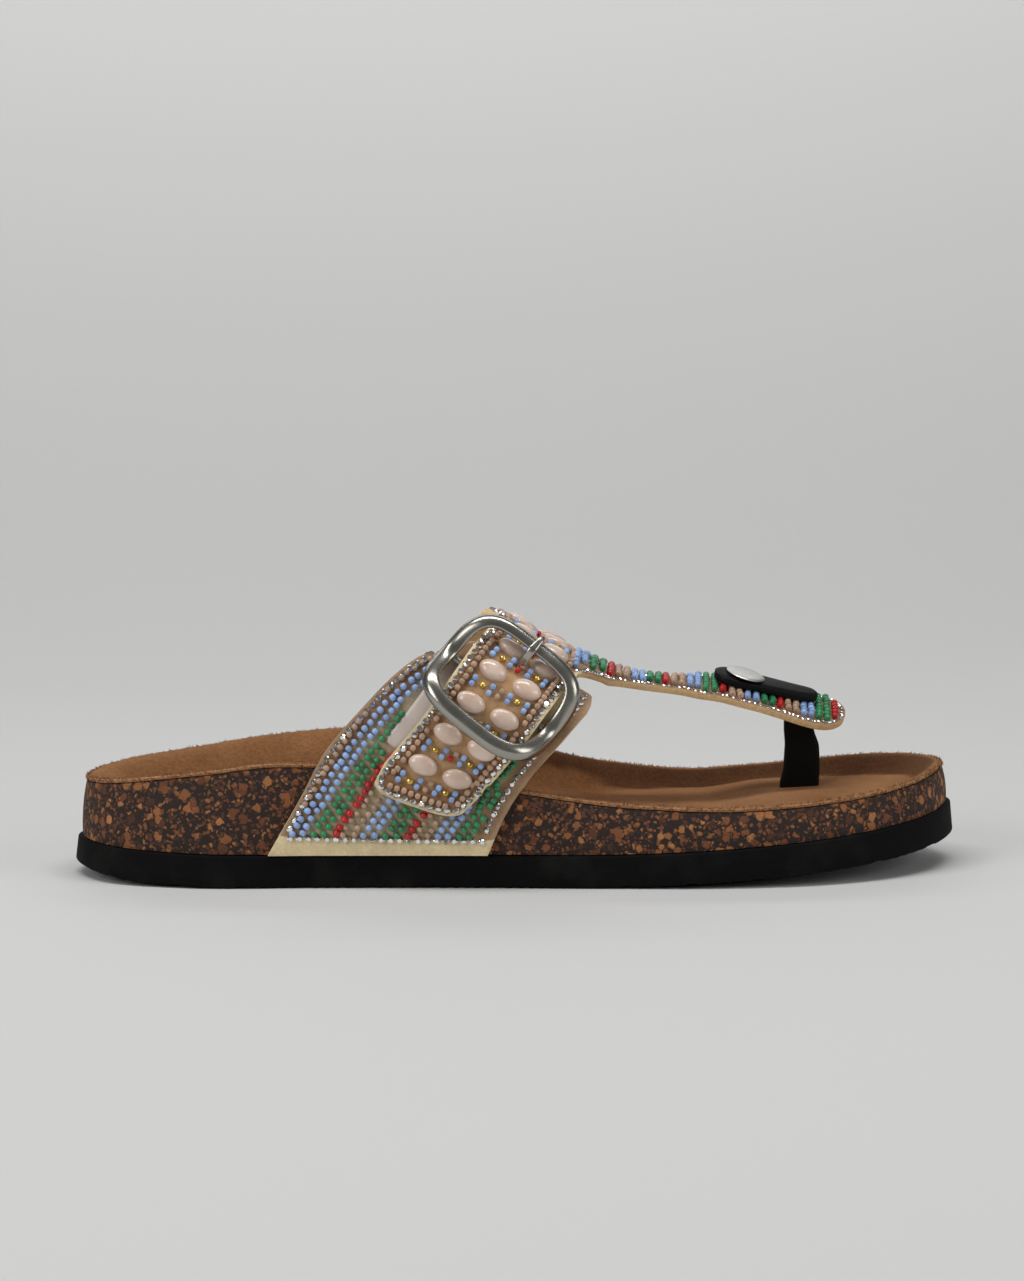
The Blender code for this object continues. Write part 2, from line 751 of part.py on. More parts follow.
def build_side_panel():
    """Outer panel: up the footbed's side and over the instep to its round end under the buckle."""
    top = PANEL_TOP
    step = (BORDER + BORDER_STEP) / NOMINAL
    hem = BASE_BORDER / NOMINAL
    rows = np.concatenate(
        [
            [0, hem, hem + BORDER_STEP / NOMINAL],
            np.linspace(hem, top - step, PANEL_ROWS)[1:-1],
            [top - step, top - BORDER / NOMINAL, top],
        ]
    )
    shift = PANEL_SLANT * ease(rows / top)
    rear = smooth(PANEL["u"], PANEL["rear"], rows + shift)
    front = smooth(PANEL["u"], PANEL["front"], rows - shift)
    half = (front - rear) / 2
    width = bordered(half, half, PANEL_COLUMNS)
    draw = ease(1 + (rows - top) / PANEL_END)[:, None] * rounded(width / half[:, None])
    x = ((rear + front) / 2)[:, None] + width - draw * np.sign(width) * PANEL_PULL
    u = rows[:, None] - shift[:, None] * width / half[:, None] - draw * PANEL_CORNER / NOMINAL
    points = on_last(x, u).reshape(-1, 3)
    u_row, strap_width = strap_coordinates(x, u)
    bare = (strap_width > TAB_REAR - TAB_CLEAR) & (strap_width < TAB_FRONT + TAB_CLEAR)
    bare &= (u_row > TAB_LOW - TAB_CLEAR / NOMINAL) & (u_row < TAB_HIGH + TAB_CLEAR / NOMINAL)
    bare |= u < hem + BORDER_STEP / NOMINAL / 2
    return beaded_sheet("side_panel", points, grid_faces(*x.shape), bare.ravel())


def strap_rows():
    """Shares of the instep strap's rows from tail to sole, and which of them the toe strap leaves from."""
    tail, base = STRAP["u"][0], STRAP["u"][-1]
    border, step = BORDER / NOMINAL, (BORDER + BORDER_STEP) / NOMINAL
    low, high = 1 - ROOT_OUTER, 1 + ROOT_INNER
    hem = BASE_BORDER / NOMINAL
    root = np.concatenate(
        [[low, low + border, low + step], np.linspace(low + step, high - step, ROOT_ROWS)[1:-1]]
        + [[high - step, high - border, high]]
    )
    lateral = np.concatenate([[tail, tail + border], np.linspace(tail + step, low, TAIL_ROWS)[:-1]])
    medial = np.linspace(high, base - hem - BORDER_STEP / NOMINAL, SOLE_ROWS)[1:]
    rows = np.concatenate([lateral, root, medial, [base - hem, base]])
    return rows, slice(len(lateral), len(lateral) + len(root))


def build_t_strap():
    """Upper: instep strap and toe strap as one wall, with the slots that the post, rivet and prong pass through."""
    rows, root = strap_rows()
    half = strap_row(rows, "half")
    width = bordered(half, half, STRAP_COLUMNS)
    u_row = np.repeat(rows[:, None], width.shape[1], 1)
    draw = ease(1 - (u_row - rows[0]) / TAIL_END) * rounded(width / half[:, None])
    u_row = u_row + draw * TAIL_CORNER / NOMINAL
    x, u = strap_place(u_row, width)
    band = on_last(x, u, strap_row(u_row, "lift"))
    columns = width.shape[1]
    faces = grid_faces(len(rows), columns)

    front_x, front_lift = x[root, -1], strap_row(rows[root], "lift")
    count = len(front_x)
    root_x, end_x = TOE_STRAP["x"][[0, -1]]
    root_end = root_x + TOE_ROOT_LENGTH
    rest = np.linspace(root_end, end_x, TOE_ROWS)[1:]
    stations = np.concatenate([np.linspace(root_x, root_end, TOE_ROOT_ROWS), rest])
    outer, inner = read(TOE_STRAP, "outer", stations), read(TOE_STRAP, "inner", stations)
    beside = bordered(outer, inner, count - 6)
    share = beside / np.where(beside < 0, outer[:, None], inner[:, None])
    end = ease(1 + (stations - end_x) / TOE_END_LENGTH)[:, None]
    draw_back = end * TOE_END_ROUND * rounded(share, TOE_END_SQUARENESS)
    fade = 1 - ease((stations - root_x) / TOE_ROOT_LENGTH)[:, None]
    toe_x = stations[:, None] + (front_x - root_x)[None, :] * fade - draw_back
    lift = fade * (front_lift - TOE_STRAP["lean"][0] * beside[0])[None, :]
    toe = toe_point(toe_x, beside, lift)[1:]

    points = np.concatenate([band.reshape(-1, 3), toe.reshape(-1, 3)])
    first = len(rows) * columns
    strip = [r * columns + columns - 1 for r in range(root.start, root.stop)]
    for k in range(len(toe)):
        row = [first + k * count + c for c in range(count)]
        faces += [[strip[c], row[c], row[c + 1], strip[c + 1]] for c in range(count - 1)]
        strip = row
    bare = np.zeros(len(points), bool)
    bare[:first] = (u > 2 - (BASE_BORDER + BORDER_STEP / 2) / NOMINAL).ravel()
    return beaded_sheet("t_strap", points, faces, bare)


# Toe post, rivet and buckle


def local_frame(origin, along, normal):
    """A matrix whose X is along, Z the normal and origin its place, in millimetres."""
    z = Vector(normal).normalized()
    x = Vector(along)
    x = (x - x.dot(z) * z).normalized()
    y = z.cross(x)
    made = Matrix((x, y, z)).transposed().to_4x4()
    made.translation = Vector(origin) * MM
    return made


def toe_frame(x):
    """A place under the middle of the toe strap: X along it and Z out."""
    ahead = toe_point(x + 1, 0.0, 0.0) - toe_point(x - 1, 0.0, 0.0)
    side = toe_point(x, 1.0, 0.0) - toe_point(x, -1.0, 0.0)
    return local_frame(toe_point(x, 0.0, 0.0), ahead, np.cross(ahead, side))


def post_rings(grow, top):
    """Rounded rectangles up the toe post to the given height, grown all round by a clearance."""
    heights = np.append(np.linspace(POST["z"][0] - grow, POST_STRAIGHT, POST_LEVELS), top)
    columns = {name: smooth(POST["z"], POST[name], heights) for name in ("x", "width", "thickness")}
    rings = []
    for z, x, width, thickness in zip(heights, columns["x"], columns["width"], columns["thickness"]):
        ring = []
        for sx, sy in ((-1, -1), (1, -1), (1, 1), (-1, 1)):
            corner = math.atan2(sy, sx)
            for turn in (-CORNER_TURN, CORNER_TURN):
                ring.append(
                    (
                        x + sx * (width / 2 - POST_CORNER) + (POST_CORNER + grow) * math.cos(corner + turn),
                        POST_Y + sy * (thickness / 2 - POST_CORNER) + (POST_CORNER + grow) * math.sin(corner + turn),
                        z,
                    )
                )
        rings.append(np.array(ring))
    return rings


def loft(rings):
    """Points and faces of a closed loft with flat ends."""
    count = len(rings[0])
    faces = [list(range(count)), list(range((len(rings) - 1) * count, len(rings) * count))]
    for k in range(len(rings) - 1):
        faces += between(count, k * count, (k + 1) * count)
    return np.concatenate(rings), faces


def build_toe_post():
    """Moulded plate on the toe strap, joined to the flat post that goes down through it."""
    turn = (1 - np.cos(np.linspace(0, math.pi, PLATE_POINTS))) / 2
    x = PLATE["x"][0] + turn * (PLATE["x"][-1] - PLATE["x"][0])
    half = smooth(PLATE["x"], PLATE["half"], x)
    loop = np.concatenate([np.stack([x, -half], 1), np.stack([x, half], 1)[-2:0:-1]])
    centre = PLATE["x"].mean()
    middle = np.stack([(loop[:, 0] - centre) * PLATE_MIDDLE + centre, np.zeros(len(loop))], 1)
    low = BACKING + BEAD_BED + GAP
    stack = []
    for share, rise in PLATE_LEVELS:
        ring = middle + (loop - middle) * share
        stack.append(toe_point(ring[:, 0], ring[:, 1], np.full(len(ring), low + rise)))
    post = ring_solid("toe_post", stack, "moulded_black")
    rings = post_rings(0.0, POST["z"][-1])
    beside = rings[-1][:, 1] - read(RIDGE, "y", rings[-1][:, 0])
    rings[-1][:, 2] = toe_point(rings[-1][:, 0], beside, np.full(len(beside), low + POST_IN_PLATE))[:, 2]
    boolean(post, cutter("post_stem", *loft(rings)), "UNION")
    return post


def build_rivet(place):
    """Turned rivet: dome, shank and cap in one, standing square to the plate."""
    seat = BACKING + BEAD_BED + GAP + PLATE_THICKNESS + PLATE_CROWN + GAP
    profile = [(RIVET_RADIUS * r, seat + RIVET_DOME * rise) for r, rise in DOME]
    profile += [
        (RIVET_RADIUS, seat + RIVET_EDGE),
        (RIVET_RADIUS, seat),
        (SHANK_RADIUS, seat),
        (SHANK_RADIUS, -GAP),
        (RIVET_CAP_RADIUS, -GAP),
        (RIVET_CAP_RADIUS * CAP_TAPER, -GAP - RIVET_CAP),
        (0, -GAP - RIVET_CAP),
    ]
    mesh = bpy.data.meshes.new("rivet")
    edges = [(i + 1, i) for i in range(len(profile) - 1)]
    mesh.from_pydata([(r * MM, 0, z * MM) for r, z in profile], edges, [])
    mesh.materials.append(material("nickel"))
    rivet = bpy.data.objects.new("rivet", mesh)
    collection("toe_post_sandal").objects.link(rivet)
    rivet.matrix_world = place
    turned = rivet.modifiers.new("turned", "SCREW")
    turned.steps = turned.render_steps = RIVET_STEPS
    turned.use_merge_vertices = True
    turned.merge_threshold = 0.00001
    turned.use_normal_calculate = True
    turned.use_normal_flip = True
    return rivet


def shaft(name, radius, low, high, place, turn=Matrix()):
    """A round helper solid along Z of the given place, from low to high in millimetres."""
    solid = bmesh.new()
    middle = Matrix.Translation((0, 0, (low + high) / 2 * MM))
    bmesh.ops.create_cone(
        solid,
        cap_ends=True,
        segments=SHAFT_SEGMENTS,
        radius1=radius * MM,
        radius2=radius * MM,
        depth=(high - low) * MM,
        matrix=place @ turn @ middle,
    )
    mesh = bpy.data.meshes.new(name)
    solid.to_mesh(mesh)
    solid.free()
    made = bpy.data.objects.new(name, mesh)
    collection("cutters").objects.link(made)
    made.hide_render = True
    made.display_type = "WIRE"
    return made


def strap_face(u_row, width):
    """Points of the instep strap's outer face, on its bead bed."""
    x, u = strap_place(np.asarray(u_row, float), np.asarray(width, float))
    return on_last(x, u, strap_row(u_row, "lift") + BACKING + BEAD_BED)


def strap_frame(u_row, width):
    """A place on the strap's outer face: X across it to the front, Y up it and Z out."""
    ahead = strap_face(u_row, width + 1) - strap_face(u_row, width - 1)
    up = strap_face(u_row + 0.02, width) - strap_face(u_row - 0.02, width)
    return local_frame(strap_face(u_row, width), ahead, np.cross(ahead, up))


def last_frame(u_row):
    """A place on the last under the middle of the strap, with the same directions."""
    x, u = strap_place(np.array(u_row), np.array(0.0))
    ahead = last(*strap_place(np.array(u_row), np.array(0.5))) - last(x, u)
    return local_frame(last(x, u), ahead, last_normal(x, u))


ACROSS = Matrix.Rotation(math.pi / 2, 4, "Y")


def build_buckle_frame(place):
    """Arched frame swept round a squarish loop, joined to its centre bar."""
    turn = np.linspace(0, 2 * math.pi, FRAME_POINTS, endpoint=False)
    power = 2 / FRAME_SQUARENESS
    x = FRAME_HALF_ACROSS * np.sign(np.cos(turn)) * np.abs(np.cos(turn)) ** power
    y = FRAME_HALF_ALONG * np.sign(np.sin(turn)) * np.abs(np.sin(turn)) ** power
    z = FRAME_LOW + FRAME_ARCH * ease(np.abs(y) / FRAME_HALF_ALONG)
    middle = np.stack([x, y, z], 1)
    ahead = np.roll(middle, -1, 0) - np.roll(middle, 1, 0)
    side = np.cross(ahead, (0.0, 0.0, 1.0))
    side /= np.linalg.norm(side, axis=1)[:, None]
    up = np.cross(side, ahead)
    up /= np.linalg.norm(up, axis=1)[:, None]
    round_it = np.linspace(0, 2 * math.pi, FRAME_SIDES, endpoint=False)
    points = (
        middle[:, None]
        + side[:, None] * (FRAME_WIDTH / 2 * np.cos(round_it))[None, :, None]
        + up[:, None] * (FRAME_HEIGHT / 2 * np.sin(round_it))[None, :, None]
    ).reshape(-1, 3)
    faces = []
    for k in range(FRAME_POINTS):
        faces += between(FRAME_SIDES, k * FRAME_SIDES, (k + 1) % FRAME_POINTS * FRAME_SIDES)
    frame = mesh_object("buckle_frame", points, faces, "nickel")
    frame.data.transform(place)
    reach = FRAME_HALF_ACROSS
    bar_place = place @ Matrix.Translation((0, 0, BAR_HEIGHT * MM))
    boolean(frame, shaft("buckle_bar", BAR_RADIUS, -reach, reach, bar_place, ACROSS), "UNION")
    return frame


def prong_loft(grow):
    """The prong's flat bar along its middle line, grown all round by a clearance."""
    along = np.linspace(PRONG["along"][0], PRONG["along"][-1] + grow, PRONG_STATIONS)
    out = smooth(PRONG["along"], PRONG["out"], along)
    tilt = np.arctan2(np.gradient(out), np.gradient(along))
    taper = PRONG_TAPER * ease((along - PRONG_TAPER_START) / PRONG_TAPER_LENGTH)
    half_width = PRONG_WIDTH / 2 + grow - taper
    half_thick = PRONG_THICKNESS / 2 + grow
    rings = []
    for y, z, angle, half in zip(along, out, tilt, half_width):
        ring = []
        for sx, sz in PRONG_SECTION:
            rise = sz * half_thick
            ring.append((sx * half, y - rise * math.sin(angle), z + rise * math.cos(angle)))
        rings.append(np.array(ring))
    return loft(rings)


def build_buckle_prong(place):
    """Prong: a flat bar from an eye round the buckle's bar, up through the strap and over the frame."""
    prong = mesh_object("buckle_prong", *prong_loft(0.0), "nickel")
    prong.data.transform(place)
    bar_place = place @ Matrix.Translation((0, 0, BAR_HEIGHT * MM))
    half = PRONG_WIDTH / 2 + EYE_SIDE
    boolean(prong, shaft("prong_eye", EYE_RADIUS, -half, half, bar_place, ACROSS), "UNION")
    boolean(prong, shaft("eye_bore", BAR_RADIUS + EYE_PLAY, -BORE_HALF, BORE_HALF, bar_place, ACROSS), "DIFFERENCE")
    return prong


def build_buckle_tab(place):
    """Thin tab on the panel that runs up under the strap and the buckle's bar, cut away round the prong's eye."""
    rows = np.linspace(TAB_LOW, TAB_HIGH, TAB_ROWS)
    width = np.linspace(TAB_REAR, TAB_FRONT, TAB_COLUMNS)
    u_row, across_it = np.meshgrid(rows, width, indexing="ij")
    corner = ease(1 - (u_row - TAB_LOW) / TAB_END) * rounded((across_it - width.mean()) / (width.max() - width.mean()))
    x, u = strap_place(u_row + corner * TAB_CORNER / NOMINAL, across_it)
    points = on_last(x, u, np.full(x.shape, BACKING + GAP)).reshape(-1, 3)
    tab = mesh_object("buckle_tab", points, grid_faces(len(rows), len(width)), "clear_vinyl")
    shell = tab.modifiers.new("thickness", "SOLIDIFY")
    shell.thickness = TAB_THICKNESS * MM
    shell.offset = 1
    bar_place = place @ Matrix.Translation((0, 0, BAR_HEIGHT * MM))
    half = PRONG_WIDTH / 2 + EYE_SIDE + 2 * GAP
    boolean(tab, shaft("eye_notch", EYE_RADIUS + 2 * GAP, -half, half, bar_place, ACROSS), "DIFFERENCE")
    return tab


def strap_stations(lengths):
    """The strap's row shares at the given lengths along its outer face from the tail."""
    u_row = np.linspace(STRAP["u"][0], STRAP["u"][-1], STRAP_SAMPLES)
    face = strap_face(u_row, np.zeros(STRAP_SAMPLES))
    along = np.concatenate([[0], np.cumsum(np.linalg.norm(np.diff(face, axis=0), axis=1))])
    return np.interp(lengths, along, u_row)


def build_stones():
    """Oval stones two by two along the instep strap, each a low dome on the bead bed."""
    turn = np.linspace(0, 2 * math.pi, STONE_POINTS, endpoint=False)
    oval = np.stack([np.cos(turn) * STONE_LENGTH / 2, np.sin(turn) * STONE_WIDTH / 2], 1)
    dome = [raised(oval * share, STONE_RISE * rise) for share, rise in STONE_LEVELS]
    stations = strap_stations(STONE_FIRST + STONE_PITCH * np.arange(STONE_PAIRS))
    number = 0
    for u_row in stations:
        for side in (-1, 1):
            number += 1
            stone = ring_solid(f"stone_{number:02d}", dome, "pink_stone")
            place = strap_frame(u_row, side * STONE_ACROSS)
            stone.data.transform(place @ Matrix.Translation((0, 0, STONE_GAP * MM)))


def main():
    """Builds every piece, clearing the scene first."""
    for old in list(bpy.data.objects):
        bpy.data.objects.remove(old)
    outsole, footbed, insole = build_outsole(), build_footbed(), build_insole()
    build_side_panel()
    strap = build_t_strap()
    post = build_toe_post()
    rivet_place = toe_frame(RIVET_X)
    build_rivet(rivet_place)
    slot = cutter("post_slot", *loft(post_rings(GAP, POST["z"][-1] + SLOT_ABOVE)))
    for piece in (footbed, insole, strap):
        boolean(piece, slot, "DIFFERENCE")
    rivet_hole = shaft("rivet_hole", SHANK_RADIUS + GAP, *RIVET_HOLE, rivet_place)
    for piece in (post, strap):
        boolean(piece, rivet_hole, "DIFFERENCE")
    place = last_frame(BUCKLE_U) @ Matrix.Translation((BUCKLE_FORWARD * MM, BUCKLE_UP * MM, 0))
    place @= Matrix.Rotation(math.radians(BUCKLE_TURN), 4, "Z")
    build_buckle_frame(place)
    build_buckle_prong(place)
    build_buckle_tab(place)
    prong_slot = cutter("prong_slot", *prong_loft(GAP))
    prong_slot.data.transform(place)
    boolean(strap, prong_slot, "DIFFERENCE")
    build_stones()


main()
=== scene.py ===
"""Looks of a toe post sandal: foam sole, cork footbed, suede insole and a beaded upper with a buckle.

Sizes are in millimetres in the sandal's own frame: +X from heel to toe, -Y the outer side, +Z up, the
origin on the floor. Meshes are written in metres. Every surface is a function of two parameters on a grid,
or a section carried along a path, worked out as whole arrays.
"""

import logging
import math
from dataclasses import dataclass, field
from enum import Enum

import bmesh
import bpy
import numpy as np
from mathutils import Matrix

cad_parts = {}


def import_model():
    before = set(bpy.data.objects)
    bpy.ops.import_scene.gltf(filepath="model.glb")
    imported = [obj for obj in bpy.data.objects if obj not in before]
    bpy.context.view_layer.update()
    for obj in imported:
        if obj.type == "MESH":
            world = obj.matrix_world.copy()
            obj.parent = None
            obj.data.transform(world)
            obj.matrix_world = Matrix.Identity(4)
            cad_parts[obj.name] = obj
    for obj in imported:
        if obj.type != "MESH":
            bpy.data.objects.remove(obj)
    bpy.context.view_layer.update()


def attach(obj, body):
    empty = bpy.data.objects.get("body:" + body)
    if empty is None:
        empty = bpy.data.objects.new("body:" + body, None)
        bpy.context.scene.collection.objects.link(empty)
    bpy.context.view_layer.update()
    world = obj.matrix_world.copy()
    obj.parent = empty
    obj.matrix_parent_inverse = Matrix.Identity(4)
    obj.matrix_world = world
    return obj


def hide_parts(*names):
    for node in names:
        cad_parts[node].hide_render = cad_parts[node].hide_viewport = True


MM = 0.001
BODY = "root"
LOG = logging.getLogger("toe_post_sandal")
Array = np.ndarray
Table = dict[str, Array]
Random = np.random.Generator
Tree = bpy.types.NodeTree


# Curves


def table(columns: str, *rows: tuple[float, ...]) -> Table:
    """Named columns of numbers.

    Args:
        columns: the columns' names, apart by spaces.
        rows: one tuple of numbers a row.

    Returns:
        Each column as an array, by name.
    """
    return dict(zip(columns.split(), np.array(rows, float).T))


def table_field(columns: str, *rows: tuple[float, ...]) -> Table:
    """A dataclass field whose default is a table of these columns and rows."""
    return field(default_factory=lambda: table(columns, *rows))


def smooth(xs: Array, ys: Array, at: Array) -> Array:
    """Reads a smooth curve: cubic pieces whose slopes are harmonic means, so that nothing overshoots.

    Args:
        xs: rising places.
        ys: the curve's values there.
        at: where it is read, held to the first and last place.

    Returns:
        The values, in the shape of at.
    """
    step = np.diff(xs)
    slope = np.diff(ys) / step
    same_way = slope[:-1] * slope[1:] > 0
    total = np.where(same_way, slope[:-1] + slope[1:], 1.0)
    inner = np.where(same_way, 2 * slope[:-1] * slope[1:] / total, 0.0)
    tangent = np.concatenate([slope[:1], inner, slope[-1:]])
    at = np.clip(at, xs[0], xs[-1])
    i = np.clip(np.searchsorted(xs, at) - 1, 0, len(step) - 1)
    t = (at - xs[i]) / step[i]
    return (
        (1 + 2 * t) * (1 - t) ** 2 * ys[i]
        + t * (1 - t) ** 2 * step[i] * tangent[i]
        + t**2 * (3 - 2 * t) * ys[i + 1]
        + t**2 * (t - 1) * step[i] * tangent[i + 1]
    )


def ease(t: Array) -> Array:
    """From 0 to 1 with a level start and end: 3t^2 - 2t^3."""
    t = np.clip(t, 0, 1)
    return t * t * (3 - 2 * t)


def unit(vectors: Array) -> Array:
    """Vectors made one long."""
    return vectors / np.maximum(np.linalg.norm(vectors, axis=-1, keepdims=True), 1e-12)


def lengths(points: Array) -> Array:
    """Length along a polyline at each of its points."""
    return np.concatenate([[0.0], np.cumsum(np.linalg.norm(np.diff(points, axis=0), axis=1))])


def at_lengths(values: Array, along: Array, places: Array) -> Array:
    """Rows of values that go with lengths along a path, read at other lengths.

    Args:
        values: one row for each point of the path.
        along: the length at each point.
        places: the lengths to read at.

    Returns:
        One row for each place.
    """
    return np.stack([np.interp(places, along, column) for column in values.T], 1)


def superellipse(turn: Array, squareness: float) -> tuple[Array, Array]:
    """Unit loop |x|^n + |y|^n = 1, a circle at n = 2 and squarer above.

    Args:
        turn: angles round it.
        squareness: n.

    Returns:
        x and y at each angle.
    """
    power = 2 / squareness
    cos, sin = np.cos(turn), np.sin(turn)
    return np.sign(cos) * np.abs(cos) ** power, np.sign(sin) * np.abs(sin) ** power


def drawn_back(share: Array, squareness: float = 4.0) -> Array:
    """How far a strap's rounded end draws back, from 0 in its middle to 1 at an edge: 1 - (1 - |c|^n)^(1/n)."""
    return 1 - (1 - np.abs(np.clip(share, -1, 1)) ** squareness) ** (1 / squareness)


# Surfaces and pieces


def quads_between(number: Array) -> Array:
    """Quads between neighbours in a grid of point numbers."""
    corners = (number[:-1, :-1], number[:-1, 1:], number[1:, 1:], number[1:, :-1])
    return np.stack(corners, -1).reshape(-1, 4)


@dataclass
class Surface:
    """A mesh as arrays: points in millimetres, quads, and a finish number and a tint for each part of it."""

    points: Array
    quads: Array
    slots: Array
    tint: Array

    @classmethod
    def grid(cls, points: Array, wrap_rows: bool = False, wrap_columns: bool = False, slot: int = 0) -> "Surface":
        """A grid of points joined to its neighbours by quads.

        Args:
            points: rows by columns by three.
            wrap_rows: whether the last row joins the first.
            wrap_columns: whether the last column joins the first.
            slot: the number of its finish.

        Returns:
            The surface. A row that is all one point is a pole, which is merged when the piece is made.
        """
        rows, columns = points.shape[:2]
        number = np.arange(rows * columns).reshape(rows, columns)
        if wrap_rows:
            number = np.concatenate([number, number[:1]], 0)
        if wrap_columns:
            number = np.concatenate([number, number[:, :1]], 1)
        quads = quads_between(number)
        flat = points.reshape(-1, 3)
        return cls(flat, quads, np.full(len(quads), slot), np.full(len(flat), 0.5))

    @classmethod
    def joined(cls, parts: list["Surface"]) -> "Surface":
        """Several surfaces as one mesh."""
        starts = np.cumsum([0] + [len(part.points) for part in parts[:-1]])
        return cls(
            np.concatenate([part.points for part in parts]),
            np.concatenate([part.quads + start for part, start in zip(parts, starts)]),
            np.concatenate([part.slots for part in parts]), np.concatenate([part.tint for part in parts]),
        )

    def scattered(self, seats: "Seats") -> "Surface":
        """Copies of this surface, one at each seat, in one mesh.

        Args:
            seats: where they go, which way they face, how big they are, and their finish and tint.

        Returns:
            The joined copies.
        """
        local = self.points[None] * seats.size[:, None, :]
        points = seats.origin[:, None] + np.einsum("nvk,nkc->nvc", local, seats.axes())
        count, each = len(seats.origin), len(self.points)
        quads = self.quads[None] + (np.arange(count) * each)[:, None, None]
        slots = self.slots[None] + seats.slot[:, None]
        return Surface(points.reshape(-1, 3), quads.reshape(-1, 4), slots.ravel(), np.repeat(seats.tint, each))


@dataclass
class Seats:
    """Places for many small things: origins, the way along and out of the surface, size, finish and tint."""

    origin: Array
    along: Array
    out: Array
    size: Array
    slot: Array
    tint: Array

    @classmethod
    def of(cls, origin: Array, along: Array, out: Array, size: float, slot: Array, rng: Random) -> "Seats":
        """Seats of one size, each turned by its surface, with a tint drawn for each.

        Args:
            origin: the places, a row each.
            along: which way the thing lies.
            out: which way it faces.
            size: the scale of the thing's shape.
            slot: the number of each one's finish.
            rng: where the tints are drawn from.

        Returns:
            The seats.
        """
        count = len(origin)
        spread = size * (1 + 0.035 * rng.standard_normal((count, 1))) * np.ones(3)
        return cls(origin, along, out, spread, np.broadcast_to(slot, count), rng.random(count))

    def axes(self) -> Array:
        """Each seat's own X along, Y beside and Z out, as rows."""
        z = unit(self.out)
        x = unit(self.along - (self.along * z).sum(1, keepdims=True) * z)
        return np.stack([x, np.cross(z, x), z], 1)

    def kept(self, keep: Array) -> "Seats":
        """Only the seats that a mask keeps."""
        return Seats(*(values[keep] for values in vars(self).values()))

    @classmethod
    def joined(cls, parts: list["Seats"]) -> "Seats":
        """Several sets of seats as one."""
        return cls(*(np.concatenate(values) for values in zip(*(vars(part).values() for part in parts))))


@dataclass
class Place:
    """One place with its axes: X along, Y beside and Z out, as rows."""

    origin: Array
    axes: Array

    @classmethod
    def of(cls, origin: Array, along: Array, out: Array) -> "Place":
        """The place at origin with Z out and X as near as can be to along."""
        z = unit(out)
        x = unit(along - (along @ z) * z)
        return cls(origin, np.stack([x, np.cross(z, x), z]))

    def put(self, points: Array) -> Array:
        """Local points as points of the sandal."""
        return self.origin + points @ self.axes


class Wall(Enum):
    """Finish numbers on a sheet that Solidify thickens: its outer face, its lining and its cut edge."""

    FACE = 0
    LINING = 1
    EDGE = 2


def make_piece(
    name: str,
    surface: Surface,
    finishes: list["Finish"],
    nodes: tuple[str, ...] = (),
    sharp: float = 40.0,
    closed: bool = True,
    attributes: Table | None = None,
) -> bpy.types.Object:
    """Turns a surface into a piece of the sandal.

    Args:
        name: the piece's name.
        surface: its mesh; poles and seams that meet are merged.
        finishes: its finishes, in the order of the surface's finish numbers.
        nodes: the solids that it stands for.
        sharp: edges that bend by more than this many degrees stay sharp.
        closed: whether it is closed, so that its faces can be turned outwards.
        attributes: more values for each point, by name.

    Returns:
        The object, riding on the sandal's one body.
    """
    mesh = bpy.data.meshes.new(name)
    mesh.from_pydata((surface.points * MM).tolist(), [], surface.quads.tolist())
    mesh.polygons.foreach_set("material_index", surface.slots.astype(np.int32))
    for key, values in {"tint": surface.tint, **(attributes or {})}.items():
        mesh.attributes.new(key, "FLOAT", "POINT").data.foreach_set("value", values.astype(np.float32))
    shaped = bmesh.new()
    shaped.from_mesh(mesh)
    bmesh.ops.remove_doubles(shaped, verts=shaped.verts, dist=1e-7)
    if closed:
        bmesh.ops.recalc_face_normals(shaped, faces=shaped.faces)
    shaped.to_mesh(mesh)
    shaped.free()
    mesh.shade_smooth()
    mesh.set_sharp_from_angle(angle=math.radians(sharp))
    for finish in finishes:
        mesh.materials.append(finish.material())
    made = bpy.data.objects.new(name, mesh)
    bpy.context.scene.collection.objects.link(made)
    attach(made, BODY)
    if nodes:
        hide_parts(*nodes)
    LOG.info("%s: %d faces", name, len(mesh.polygons))
    return made


def thicken(
    made: bpy.types.Object, thickness: float, way: int, back: Wall = Wall.FACE, rim: Wall = Wall.FACE
) -> None:
    """Thickens an open sheet.

    Args:
        made: the sheet.
        thickness: in millimetres.
        way: 1 along its normals, -1 against them.
        back: the finish of its other face.
        rim: the finish of its cut edge.
    """
    shell = made.modifiers.new("thickness", "SOLIDIFY")
    shell.thickness = thickness * MM
    shell.offset = way
    shell.material_offset = back.value
    shell.material_offset_rim = rim.value


def turn_up(made: bpy.types.Object) -> None:
    """Turns an open sheet over if its faces point down on the whole.

    Args:
        made: the sheet, whose faces all point the same way.
    """
    mesh = made.data
    normals = np.empty(len(mesh.polygons) * 3)
    mesh.polygons.foreach_get("normal", normals)
    if normals.reshape(-1, 3)[:, 2].mean() < 0:
        mesh.flip_normals()


def swept(path: Array, side: Array, up: Array, section: Array, scale: Array | None = None) -> Array:
    """A section carried along a path: path + side * a + up * b for each point (a, b) of the section.

    Args:
        path: the path's points.
        side: the way across at each.
        up: the way out at each.
        section: points (a, b) round the section.
        scale: the section's size at each point of the path, one if left out.

    Returns:
        Grid points, a row for each point of the path.
    """
    size = np.ones(len(path)) if scale is None else scale
    across = side[:, None] * section[None, :, :1] + up[:, None] * section[None, :, 1:]
    return path[:, None] + across * size[:, None, None]


